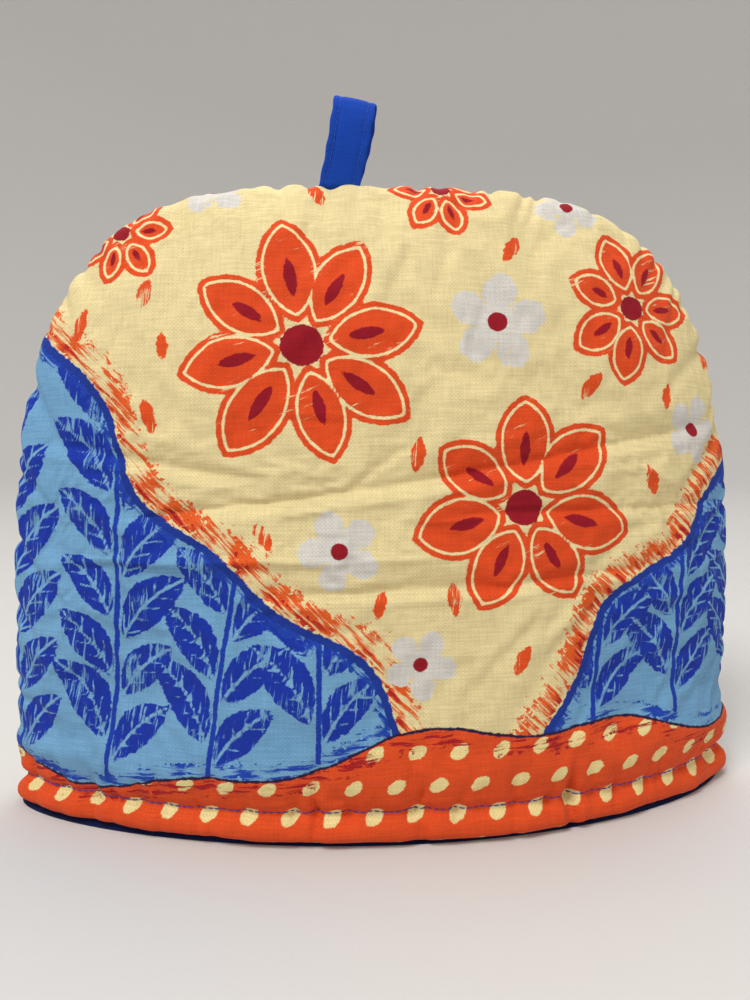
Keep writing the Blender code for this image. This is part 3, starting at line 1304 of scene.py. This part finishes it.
@dataclass
class PaddedCover:
    """One printed panel with its wadding, from the seam down to the turned hem."""

    side: Side
    creases: tuple[Crease, ...]
    swells: tuple[Swell, ...]
    node: str
    cloth: FloralPrint = field(default_factory=FloralPrint)
    settling: Settling = Settling()
    wall: Skin = Skin(0.007, 0.0055, 0.003)
    seam_gap: float = DOME.seam_gap / 6
    seam_sunk: float = 0.0015
    seam_roll: float = 0.0009
    hem_round: float = 0.0045
    hem_roll: float = 0.0016
    stitch_height: float = 0.0145
    stitch_depth: float = 0.0024
    stitch_reach: float = 0.0030
    body_puff: float = 0.0022
    seam_gathers: Puckers = Puckers(pitch=0.0115, depth=0.0021, width=0.0026, reach=0.010)
    long_gathers: Puckers = Puckers(pitch=0.034, depth=0.0014, width=0.0040, reach=0.024)
    hem_gathers: Puckers = Puckers(pitch=0.012, depth=0.0019, width=0.0021, reach=0.010)
    hem_pinches: Puckers = Puckers(pitch=0.048, depth=0.0022, width=0.0017, reach=0.011)
    # Height, runs across and up, and seed of the cloth's small unevenness
    uneven: tuple[tuple, ...] = (
        (0.00090, 0.055, 0.045, 60),
        (0.00035, 0.021, 0.016, 63),
        (0.00012, 0.008, 0.006, 67),
    )
    inner_step: int = 4
    columns: int = 320
    hem_rows: int = 24
    rows: int = 232
    settling_grid: tuple[int, int, int] = (140, 12, 80)

    def build(self, material: bpy.types.Material) -> bpy.types.Object:
        """Makes the panel as a closed padded shell, and fits it to the frame.

        Args:
            material: the printed cotton.

        Returns:
            The finished panel.
        """
        self.grid = panel_grid(self.columns, self.hem_rows, self.rows)
        outer = self.outer_face()
        coarse = self.grid.every(self.inner_step)
        inner = coarse.points(self.wall)
        inner[0, :, 2] = self.lip(coarse)
        self.face = outer
        points = np.concatenate([outer.reshape(-1, 3), inner.reshape(-1, 3)])
        from_seam = np.concatenate([self.grid.from_seam.ravel(), coarse.from_seam.ravel()])
        points = SEAM.placed(points, from_seam, self.side, self.seam_gap)
        faces = shell_faces(outer.shape[:2], self.inner_step)
        piece = mesh_object(self.node + "_cover", points, faces, material)
        face_outwards(piece)
        across = np.concatenate([self.grid.across.ravel(), coarse.across.ravel()])
        up = np.concatenate([self.grid.up.ravel(), coarse.up.ravel()])
        set_cloth_map(piece, np.stack([across, up], axis=-1))
        self.print_on(piece, across, up)
        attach(piece, "root")
        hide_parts(self.node)
        return piece

    def outer_face(self) -> np.ndarray:
        """Shapes the outer face, with its hem, puckers, creases, wadding and wrinkles.

        Returns:
            Rows of points, with Y as the distance from the seam.
        """
        grid = self.grid
        face, normals = self.formed(grid)
        coarse = panel_grid(*self.settling_grid)
        face = face + normals * carried(self.wrinkles(coarse), coarse, grid)[..., None]
        face[grid.out > 0.99999, 1] = 0.0
        lip = self.lip(grid)
        face[0, :, 2] = lip
        face[..., 2] = np.maximum(face[..., 2], lip)
        return face

    def formed(self, grid: Grid) -> tuple[np.ndarray, np.ndarray]:
        """Shapes the outer face before its cloth settles.

        Args:
            grid: where its points lie.

        Returns:
            The points, and the way out at each.
        """
        base = grid.points(Skin())
        normals = grid_normals(base)
        normals[grid.out > 0.99999, 1] = 0.0
        normals /= np.maximum(np.linalg.norm(normals, axis=-1, keepdims=True), 1e-9)
        height = self.seam_relief(grid) + self.hem_relief(grid, base[..., 2])
        height = height + self.body_relief(grid) * ease(grid.from_seam / 0.012)
        return base + normals * height[..., None], normals

    def wrinkles(self, grid: Grid) -> np.ndarray:
        """Lets the cloth settle.

        Args:
            grid: a coarse grid over the panel.

        Returns:
            How far out each point moves.
        """
        face, normals = self.formed(grid)
        facing = (1, self.side.value, 1)
        sewn = (grid.out > 0.9999) | (face[..., 2] < self.stitch_height + 0.001)
        out = np.sum(self.settling.run(face * facing, sewn) * facing * normals, axis=-1)
        out = out - np.median(out[~sewn])
        cap = self.settling.cap
        out = cap * np.tanh(out / cap) * ease(grid.from_seam / 0.010)
        return out * ease((face[..., 2] - self.stitch_height) / 0.010)

    def lip(self, grid: Grid) -> np.ndarray:
        """Height of the hem's lowest row, just clear of the lining's edge below it."""
        return lining_edge(grid.across[0] * self.side.value) + DOME.seam_gap / 3

    def seam_relief(self, grid: Grid) -> np.ndarray:
        """The gathers, drawn-in line and soft roll beside the seam.

        Args:
            grid: where the points lie.

        Returns:
            How far out each point moves.
        """
        whole = float(grid.along_seam.max())
        along, away = grid.along_seam, grid.from_seam
        gathers = self.seam_gathers.height(along, away, whole, 11)
        long = self.long_gathers.height(along, away, whole, 23 + self.side.value)
        gathers += long * ease(away / 0.004)
        sunk, roll = bell(away, 0.0019), bell(away - 0.007, 0.005)
        return gathers - self.seam_sunk * sunk + self.seam_roll * roll

    def hem_relief(self, grid: Grid, up: np.ndarray) -> np.ndarray:
        """The trough of the topstitching, the puffy roll below it and the rounded lip.

        Args:
            grid: where the points lie.
            up: their heights.

        Returns:
            How far out each point moves.
        """
        across = grid.across
        whole = DOME.flat_width + 0.01
        puffs = 1 + 0.45 * roughly(across / 0.013, 0 * across, 7 + self.side.value)
        trough = self.stitch_depth * bell(up - self.stitch_height, self.stitch_reach)
        below = np.clip(up / self.stitch_height, 0, 1)
        roll = self.hem_roll * puffs * np.sin(math.pi * below) ** 0.8
        lip = np.clip((self.hem_round - up + self.lip(grid)) / self.hem_round, 0, 1)
        rounded = self.hem_round * (1 - np.sqrt(1 - lip**2))
        height = roll - trough - rounded
        away = np.abs(up - self.stitch_height)
        along = across + whole / 2
        for gathers, seed in ((self.hem_gathers, 41), (self.hem_pinches, 61)):
            height = height + gathers.height(along, away, whole, seed + self.side.value)
        return height + self.body_puff * bell(up - 0.028, 0.011)

    def body_relief(self, grid: Grid) -> np.ndarray:
        """Storage creases, swells of the wadding and the small unevenness of the cloth.

        Args:
            grid: where the points lie.

        Returns:
            How far out each point moves.
        """
        across, up = grid.across, grid.up
        height = sum(crease.height(across, up) for crease in self.creases)
        for swell in self.swells:
            away = np.hypot(across - swell.across, up - swell.up)
            height = height + swell.height * bell(away, swell.reach)
        for rise, run_across, run_up, seed in self.uneven:
            rough = roughly(across / run_across, up / run_up, seed + self.side.value)
            height = height + rise * rough
        return height

    def print_on(self, piece: bpy.types.Object, across: np.ndarray, up: np.ndarray) -> None:
        """Stores the print on the mesh. The back is cut from the cloth the other way up.

        Args:
            piece: the panel.
            across: where each vertex lies across the cloth.
            up: where it lies up the cloth.
        """
        if self.side is Side.BACK:
            across, up = -across, DOME.height - up
        for name, values in self.cloth.channels(across, up).items():
            layer = piece.data.attributes.new(name, "FLOAT_VECTOR", "POINT")
            layer.data.foreach_set("vector", values.astype(np.float32).ravel())

    def hem_line(self) -> tuple[np.ndarray, np.ndarray]:
        """Finds where the topstitching runs on the face.

        Returns:
            Its points, and the way out at each.
        """
        heights = self.face[:, self.columns // 2, 2]
        row = int(np.argmin(np.abs(heights - self.stitch_height)))
        normals = grid_normals(self.face)[row]
        line = SEAM.placed(self.face[row], self.grid.from_seam[row], self.side, self.seam_gap)
        normals[:, 1] *= self.side.value
        return line, normals


@dataclass
class Lining:
    """The navy lining of one panel, with its foot turned out under the hem."""

    side: Side
    node: str
    outer: Skin = Skin(0.0075, 0.006, 0.003)
    inner: Skin = Skin(0.0087, 0.0072, 0.0025)
    # Share of the way out to the hem's line, and of the edge's thickness
    edge_top: tuple[tuple, ...] = ((0.56, 0.50), (0.52, 0.86), (0.42, 1.0), (0.0, 1.0))
    edge_foot: tuple[tuple, ...] = ((0.80, 0.22), (0.78, 0.0), (0.745, 0.0), (0.0, 0.0))
    edge_drop: tuple[float, ...] = (0.006, 0.005, 0.004)  # how far down the cloth it lies
    columns: int = 160
    hem_rows: int = 10
    rows: int = 80

    def build(self, material: bpy.types.Material) -> bpy.types.Object:
        """Makes the lining as a thin closed sheet, and fits it to the frame.

        Args:
            material: the navy cotton.

        Returns:
            The finished lining.
        """
        grid = panel_grid(self.columns, self.hem_rows, self.rows)
        outer, inner = self.faces(grid)
        points = np.concatenate([outer.reshape(-1, 3), inner.reshape(-1, 3)])
        below = [grid.from_seam[:1]] * len(self.edge_drop)
        from_seam = np.concatenate(below + [grid.from_seam]).ravel()
        points = SEAM.placed(points, np.tile(from_seam, 2), self.side, DOME.seam_gap / 2)
        faces = shell_faces(outer.shape[:2], 1)
        piece = mesh_object(self.node + "_cloth", points, faces, material)
        face_outwards(piece)
        up = np.concatenate([grid.up[:1] - drop for drop in self.edge_drop] + [grid.up])
        across = np.concatenate([grid.across[:1]] * len(self.edge_drop) + [grid.across])
        flat = np.stack([across, up], axis=-1).reshape(-1, 2)
        set_cloth_map(piece, np.concatenate([flat, flat]))
        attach(piece, "root")
        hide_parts(self.node)
        return piece

    def faces(self, grid: Grid) -> list[np.ndarray]:
        """Shapes both faces of the cloth, which turn out under the hem at their foot.

        Args:
            grid: where the points lie.

        Returns:
            The outer face and the inner one, as rows of points from the foot up.
        """
        sag = self.sag(grid)[..., None]
        faces = []
        for skin in (self.outer, self.inner):
            points = grid.points(skin)
            faces.append(points + grid_normals(points) * sag)
        foot, hem_line = faces[0][0], grid.points(Skin())[0]
        thick = lining_edge(grid.across[0] * self.side.value)
        for k, profile in enumerate((self.edge_top, self.edge_foot)):
            rows = [foot * (1 - share) + hem_line * share for share, _ in profile]
            for row, (_, rise) in zip(rows, profile):
                row[:, 2] = thick * rise
            faces[k] = np.concatenate([rows, faces[k][1:]])
        return faces

    def sag(self, grid: Grid) -> np.ndarray:
        """How far the loose lining sags out from the wadding at each point."""
        seed = 80 + self.side.value
        wide = 0.0011 * roughly(grid.across / 0.034, grid.up / 0.060, seed)
        narrow = 0.0005 * roughly(grid.across / 0.012, grid.up / 0.030, seed + 2)
        sewn = ease(grid.from_seam / 0.015) * ease(grid.up / 0.02)
        return -np.abs(wide + narrow) * sewn


@dataclass
class HangingLoop:
    """A strip of royal blue cotton, folded, stitched along its edges and looped."""

    node: str = "hanging_loop"
    width: float = 0.0175
    thick: float = 0.0013
    height: float = 0.036
    foot: float = 0.0008
    spread: float = 0.0074
    place: float = LOOP_PLACE
    lean: float = math.radians(10)
    twist: float = 0.16
    sunk: float = 0.003
    stitch_place: float = 0.68  # share of the way out to each edge
    pinch_depth: float = 0.55
    pinch_reach: float = 0.09
    steps: int = 72
    across_steps: int = 28

    def path(self) -> np.ndarray:
        """The middle line of the tape, seen from its edge.

        Returns:
            Rows of Y and height above the seam.
        """
        turn = np.linspace(0, math.pi, self.steps + 1)
        rise = np.abs(np.sin(turn))
        rise[[0, -1]] = 0.0
        half = self.foot + self.spread * rise**0.8
        up = (self.height - self.thick / 2) * rise**0.75
        line = np.stack([-half * np.cos(turn), up], axis=-1)
        down = np.array([[line[0, 0], -self.sunk]]), np.array([[line[-1, 0], -self.sunk]])
        return np.concatenate([down[0], line, down[1]])

    def placed(self, across: np.ndarray, y: np.ndarray, rise: np.ndarray) -> np.ndarray:
        """Sets points of the loop in place, leaning to the right.

        Args:
            across: places across the tape.
            y: places along Y.
            rise: heights above the seam.

        Returns:
            The points.
        """
        bend = 0.0011 * np.sin(rise / self.height * 2.6)
        x = self.place + across + rise * math.tan(self.lean) + bend + self.twist * y
        tilt = (across + self.width / 2) * math.tan(self.lean) * ease(rise / self.height)
        return np.stack([x, y, DOME.height + rise - tilt], axis=-1)

    def build(self, material: bpy.types.Material) -> bpy.types.Object:
        """Makes the loop as a closed strip with rounded folded edges, and fits it to the frame.

        Args:
            material: the tape's cotton.

        Returns:
            The finished tape.
        """
        line = self.path()
        steps = np.linalg.norm(np.diff(line, axis=0), axis=1)
        length = np.cumsum(np.concatenate([[0.0], steps]))[:, None]
        across = np.sin(np.linspace(-1, 1, self.across_steps + 1) * math.pi / 2)
        inside, outside = (self.face(line, length, across, sign) for sign in (1, -1))
        points = np.concatenate([inside.reshape(-1, 3), outside.reshape(-1, 3)])
        piece = mesh_object("loop_tape", points, shell_faces(inside.shape[:2], 1), material)
        face_outwards(piece)
        flat = np.stack(np.broadcast_arrays(across * self.width / 2, length), axis=-1)
        set_cloth_map(piece, np.concatenate([flat.reshape(-1, 2)] * 2))
        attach(piece, "root")
        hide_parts(self.node)
        return piece

    def ways_in(self, line: np.ndarray) -> np.ndarray:
        """The way in towards the loop's eye at each point of the tape's middle line."""
        gradient = np.gradient(line, axis=0)
        gradient /= np.linalg.norm(gradient, axis=1, keepdims=True)
        return np.stack([gradient[:, 1], -gradient[:, 0]], axis=-1)

    def face(
        self, line: np.ndarray, length: np.ndarray, across: np.ndarray, sign: int
    ) -> np.ndarray:
        """Shapes one face of the tape, thin at its folded edges and where it is stitched.

        Args:
            line: the tape's middle line.
            length: how far along it each of its points lies.
            across: places across, from -1 to 1.
            sign: 1 for the face inside the loop, -1 for the one outside.

        Returns:
            Rows of points.
        """
        sideways = self.ways_in(line)
        ridge = np.sqrt(np.maximum(0.0, 1 - np.abs(across) ** 8))
        pinch = 1 - self.pinch_depth * bell(np.abs(across) - self.stitch_place, self.pinch_reach)
        depth = sign * self.thick / 2 * ridge * pinch
        places = np.broadcast_arrays(length / 0.006, across * 1.5)
        depth = depth + 0.00025 * roughly(*places, 31)
        y = line[:, None, 0] + sideways[:, None, 0] * depth
        rise = line[:, None, 1] + sideways[:, None, 1] * depth
        edge = across * self.width / 2 + 0.0002 * np.sin(length / 0.0016)
        return self.placed(edge, y, rise)

    def stitch_line(self, share: float) -> tuple[np.ndarray, np.ndarray]:
        """Finds a line of stitches along the tape's outer face.

        Args:
            share: how far out it runs, from -1 at the left edge to 1 at the right.

        Returns:
            Its points, and the way out at each.
        """
        line = self.path()[1:-1]
        out = -self.ways_in(line)
        moved = line + out * self.thick * 0.30
        points = self.placed(np.full(len(line), share * self.width / 2), moved[:, 0], moved[:, 1])
        normals = np.stack([0 * out[:, 0], out[:, 0], out[:, 1]], axis=-1)
        return points, normals


@dataclass
class Stitching:
    """A row of machine stitches that follows a line over the cloth."""

    name: str
    pitch: float = 0.0029
    length: float = 0.0023
    thread: float = 0.00030
    arch: float = 0.00034
    sway: float = 0.09  # most that a stitch is turned, in radians
    smallest: float = 0.88
    largest: float = 1.08
    level: float = 0.55  # share of the arch that stands above the line
    seed: int = 3

    def guide(self, line: np.ndarray, normals: np.ndarray) -> bpy.types.Object:
        """Makes the line for the stitches to follow.

        Args:
            line: the points that it joins.
            normals: the way out from the cloth at each.

        Returns:
            An object of edges that carries the way out as an attribute.
        """
        mesh = bpy.data.meshes.new(self.name)
        edges = [(i, i + 1) for i in range(len(line) - 1)]
        mesh.from_pydata(line.tolist(), edges, [])
        layer = mesh.attributes.new("out", "FLOAT_VECTOR", "POINT")
        layer.data.foreach_set("vector", normals.astype(np.float32).ravel())
        made = bpy.data.objects.new(self.name, mesh)
        bpy.context.scene.collection.objects.link(made)
        return made

    def tree(self, material: bpy.types.Material) -> bpy.types.NodeTree:
        """Lays one low arch of thread at each pitch along the line.

        Args:
            material: the thread's finish.

        Returns:
            A node tree with the stitches' sizes as its inputs.
        """
        tree = bpy.data.node_groups.new(self.name, "GeometryNodeTree")
        face = tree.interface
        face.new_socket("Line", in_out="INPUT", socket_type="NodeSocketGeometry")
        for size in ("Pitch", "Length", "Thread", "Arch"):
            face.new_socket(size, in_out="INPUT", socket_type="NodeSocketFloat")
        face.new_socket("Stitches", in_out="OUTPUT", socket_type="NodeSocketGeometry")

        add = partial(add_node, tree)
        given = add("NodeGroupInput", {}).outputs
        curve = add("GeometryNodeMeshToCurve", {"Mesh": given["Line"]})
        spaced = add(
            "GeometryNodeResampleCurve",
            {"Curve": curve.outputs[0], "Length": given["Pitch"]},
            mode="LENGTH",
        )
        out = add("GeometryNodeInputNamedAttribute", {"Name": "out"}, data_type="FLOAT_VECTOR")
        tangent = add("GeometryNodeInputTangent", {})
        facing = add(
            "FunctionNodeAxesToRotation",
            {"Primary Axis": out.outputs[0], "Secondary Axis": tangent.outputs[0]},
            primary_axis="Z",
            secondary_axis="X",
        )
        turns = {"Min": (0.0, 0.0, -self.sway), "Max": (0.0, 0.0, self.sway), "Seed": self.seed}
        sway = add("FunctionNodeRandomValue", turns, data_type="FLOAT_VECTOR")
        swayed = add(
            "FunctionNodeRotateRotation",
            {0: facing.outputs[0], 1: sway.outputs[0]},
            rotation_space="LOCAL",
        )
        sizes = {2: self.smallest, 3: self.largest, "Seed": self.seed + 1}
        size = add("FunctionNodeRandomValue", sizes, data_type="FLOAT")
        placed = add(
            "GeometryNodeInstanceOnPoints",
            {
                "Points": spaced.outputs[0],
                "Instance": self.stitch(add, given),
                "Rotation": swayed.outputs[0],
                "Scale": size.outputs[1],
            },
        )
        real = add("GeometryNodeRealizeInstances", {"Geometry": placed.outputs[0]})
        coloured = add(
            "GeometryNodeSetMaterial", {"Geometry": real.outputs[0], "Material": material}
        )
        add("NodeGroupOutput", {"Stitches": coloured.outputs[0]})
        return tree

    def stitch(
        self, add: Callable[..., bpy.types.Node], given: bpy.types.NodeOutputs
    ) -> bpy.types.NodeSocket:
        """Shapes one stitch, which arches out of the cloth with both ends sunk in it.

        Args:
            add: adds a node to the tree.
            given: the tree's inputs.

        Returns:
            The stitch's geometry, along X.
        """
        half = add("ShaderNodeMath", {0: given["Length"], 1: 0.5}, operation="MULTIPLY").outputs[0]
        minus = add("ShaderNodeMath", {0: half, 1: -1.0}, operation="MULTIPLY").outputs[0]
        start = add("ShaderNodeCombineXYZ", {"X": minus})
        end = add("ShaderNodeCombineXYZ", {"X": half})
        straight = add(
            "GeometryNodeCurvePrimitiveLine", {"Start": start.outputs[0], "End": end.outputs[0]}
        )
        jointed = add(
            "GeometryNodeResampleCurve", {"Curve": straight.outputs[0], "Count": 6}, mode="COUNT"
        )
        where = add("GeometryNodeInputPosition", {})
        split = add("ShaderNodeSeparateXYZ", {0: where.outputs[0]})
        share = add("ShaderNodeMath", {0: split.outputs[0], 1: half}, operation="DIVIDE")
        square = add("ShaderNodeMath", {0: share.outputs[0], 1: 2.0}, operation="POWER")
        drop = {0: self.level, 1: square.outputs[0]}
        low = add("ShaderNodeMath", drop, operation="SUBTRACT")
        rise = add("ShaderNodeMath", {0: low.outputs[0], 1: given["Arch"]}, operation="MULTIPLY")
        offset = add("ShaderNodeCombineXYZ", {"Z": rise.outputs[0]})
        arched = add(
            "GeometryNodeSetPosition", {"Geometry": jointed.outputs[0], "Offset": offset.outputs[0]}
        )
        ring = add("GeometryNodeCurvePrimitiveCircle", {"Resolution": 6, "Radius": given["Thread"]})
        stitch = add(
            "GeometryNodeCurveToMesh",
            {"Curve": arched.outputs[0], "Profile Curve": ring.outputs[0], "Fill Caps": True},
        )
        return stitch.outputs[0]

    def build(
        self, line: np.ndarray, normals: np.ndarray, material: bpy.types.Material, slot: str
    ) -> bpy.types.Object:
        """Makes the row of stitches a plain mesh.

        Args:
            line: the points that it follows.
            normals: the way out from the cloth at each.
            material: the thread's finish.
            slot: not used.

        Returns:
            The finished object.
        """
        guide = self.guide(line, normals)
        modifier = guide.modifiers.new("stitches", "NODES")
        tree = self.tree(material)
        modifier.node_group = tree
        for item in tree.interface.items_tree:
            if item.in_out == "INPUT" and item.socket_type == "NodeSocketFloat":
                modifier[item.identifier] = getattr(self, item.name.lower())
        graph = bpy.context.evaluated_depsgraph_get()
        mesh = bpy.data.meshes.new_from_object(guide.evaluated_get(graph), depsgraph=graph)
        mesh.name = self.name
        mesh.materials.pop(index=0)  # an empty slot, left by the curves' own mesh
        mesh.shade_smooth()
        bpy.data.objects.remove(guide)
        piece = bpy.data.objects.new(self.name, mesh)
        bpy.context.scene.collection.objects.link(piece)
        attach(piece, "root")
        return piece


@dataclass(frozen=True)
class Lamp:
    """A soft square light, with its side in metres and its power in watts."""

    name: str
    place: tuple[float, float, float]
    size: float
    power: float


@dataclass
class Studio:
    """A plain pale sweep, soft lights and the camera."""

    lamps: tuple[Lamp, ...] = (
        Lamp("key", (-0.50, -0.62, 1.30), 0.42, 14.0),
        Lamp("fill", (1.0, -0.9, 0.50), 0.8, 1.6),
        Lamp("top", (0.25, 0.45, 1.35), 0.9, 7.0),
    )
    lit: tuple[float, float, float] = (0.0, 0.0, 0.12)  # what the lamps face
    surround: str = "#F3F1EE"
    surround_strength: float = 0.72
    azimuth: float = -5.0
    elevation: float = 7.0
    distance: float = 0.338
    aim: Vector = field(default_factory=lambda: Vector((-0.004, 0.0, 0.150)))
    lens: float = 36.1
    shift_up: float = -0.045
    floor_radius: float = 1.15
    bend_radius: float = 0.75
    wall_height: float = 1.7
    bend_steps: int = 12
    sectors: int = 96

    def build(self) -> None:
        """Adds the floor, the lights, the world and the camera."""
        self.sweep()
        for lamp in self.lamps:
            self.light(lamp)
        world = bpy.data.worlds.new("studio")
        world.use_nodes = True
        glow = world.node_tree.nodes["Background"].inputs
        glow["Color"].default_value = linear(self.surround)
        glow["Strength"].default_value = self.surround_strength
        bpy.context.scene.world = world
        bpy.context.scene.view_settings.view_transform = "Standard"
        self.camera()

    def sweep(self) -> None:
        """A round floor that curves up all about into a backdrop."""
        paper = StudioPaper().material("matt_background_paper")
        line = [(0.6, 0.0), (self.floor_radius, 0.0)]
        for i in range(1, self.bend_steps + 1):
            turn = math.pi / 2 * i / self.bend_steps
            out = self.floor_radius + self.bend_radius * math.sin(turn)
            line.append((out, self.bend_radius * (1 - math.cos(turn))))
        line.append((line[-1][0], self.wall_height))
        count = self.sectors
        angles = np.arange(count) * 2 * math.pi / count
        rings = [[(r * math.cos(a), r * math.sin(a), z) for a in angles] for r, z in line]
        points = np.array([(0.0, 0.0, 0.0)] + [point for ring in rings for point in ring])
        faces = [(0, 1 + i, 1 + (i + 1) % count) for i in range(count)]
        for j in range(len(rings) - 1):
            low, high = 1 + j * count, 1 + (j + 1) * count
            for i in range(count):
                after = (i + 1) % count
                faces.append((low + i, high + i, high + after, low + after))
        mesh_object("floor_sweep", points, faces, paper)

    def light(self, lamp: Lamp) -> None:
        """Adds one of the lamps, which itself can't be seen."""
        data = bpy.data.lights.new(lamp.name, "AREA")
        data.size = lamp.size
        data.energy = lamp.power
        made = bpy.data.objects.new(lamp.name, data)
        made.location = lamp.place
        made.visible_camera = False
        way = Vector(self.lit) - made.location
        made.rotation_euler = way.to_track_quat("-Z", "Y").to_euler()
        bpy.context.scene.collection.objects.link(made)

    def camera(self) -> None:
        """Adds the camera, close up like a phone's, and makes it the scene's."""
        turn, rise = math.radians(self.azimuth), math.radians(self.elevation)
        level = math.cos(rise)
        away = Vector((math.sin(turn) * level, -math.cos(turn) * level, math.sin(rise)))
        data = bpy.data.cameras.new("camera")
        data.sensor_fit = "HORIZONTAL"
        data.sensor_width = 36.0
        data.lens = self.lens
        data.shift_y = self.shift_up
        data.clip_start = 0.01
        camera = bpy.data.objects.new("camera", data)
        camera.location = self.aim + away * self.distance
        camera.rotation_euler = (-away).to_track_quat("-Z", "Y").to_euler()
        bpy.context.scene.collection.objects.link(camera)
        bpy.context.scene.camera = camera


def main() -> None:
    """Builds the cosy's pieces in order and reports each."""
    logging.basicConfig(level=logging.INFO, format="%(name)s: %(message)s")
    printed = PrintedCotton().material("printed_plain_weave_cotton")
    # Each dyed cotton's second colour is its slubs' tone and the painted shade of its weave
    navy = DyedCotton("#111D50", "#0A1232").material("navy_plain_weave_cotton")
    fine_weave = Weave(0.6, 0.05, 0.9)
    royal = DyedCotton("#124AB9", "#0E3895", fine_weave).material("royal_blue_cotton_tape")
    purple = SewingThread("#4A3FA0").material("purple_polyester_thread")
    blue = SewingThread("#1A4AB6").material("blue_polyester_thread")
    covers = (
        PaddedCover(Side.FRONT, FRONT_CREASES, FRONT_SWELLS, "front_panel"),
        PaddedCover(Side.BACK, BACK_CREASES, BACK_SWELLS, "back_panel"),
    )
    for cover in covers:
        piece = cover.build(printed)
        LOG.info("%s: %d faces", piece.name, len(piece.data.polygons))
        line, normals = cover.hem_line()
        row = Stitching(cover.node + "_topstitching").build(line, normals, purple, "printed_cotton")
        LOG.info("%s: %d faces", row.name, len(row.data.polygons))
    for side, node in ((Side.FRONT, "front_lining"), (Side.BACK, "back_lining")):
        piece = Lining(side, node).build(navy)
        LOG.info("%s: %d faces", piece.name, len(piece.data.polygons))
    loop = HangingLoop()
    piece = loop.build(royal)
    LOG.info("%s: %d faces", piece.name, len(piece.data.polygons))
    for word, share in (("left", -loop.stitch_place), ("right", loop.stitch_place)):
        line, normals = loop.stitch_line(share)
        fine = Stitching(f"loop_stitches_{word}", 0.0024, 0.0019, thread=0.00016, arch=0.0002)
        row = fine.build(line, normals, blue, "blue_tape")
        LOG.info("%s: %d faces", row.name, len(row.data.polygons))
    Studio().build()


if __name__ == "__main__":
    main()
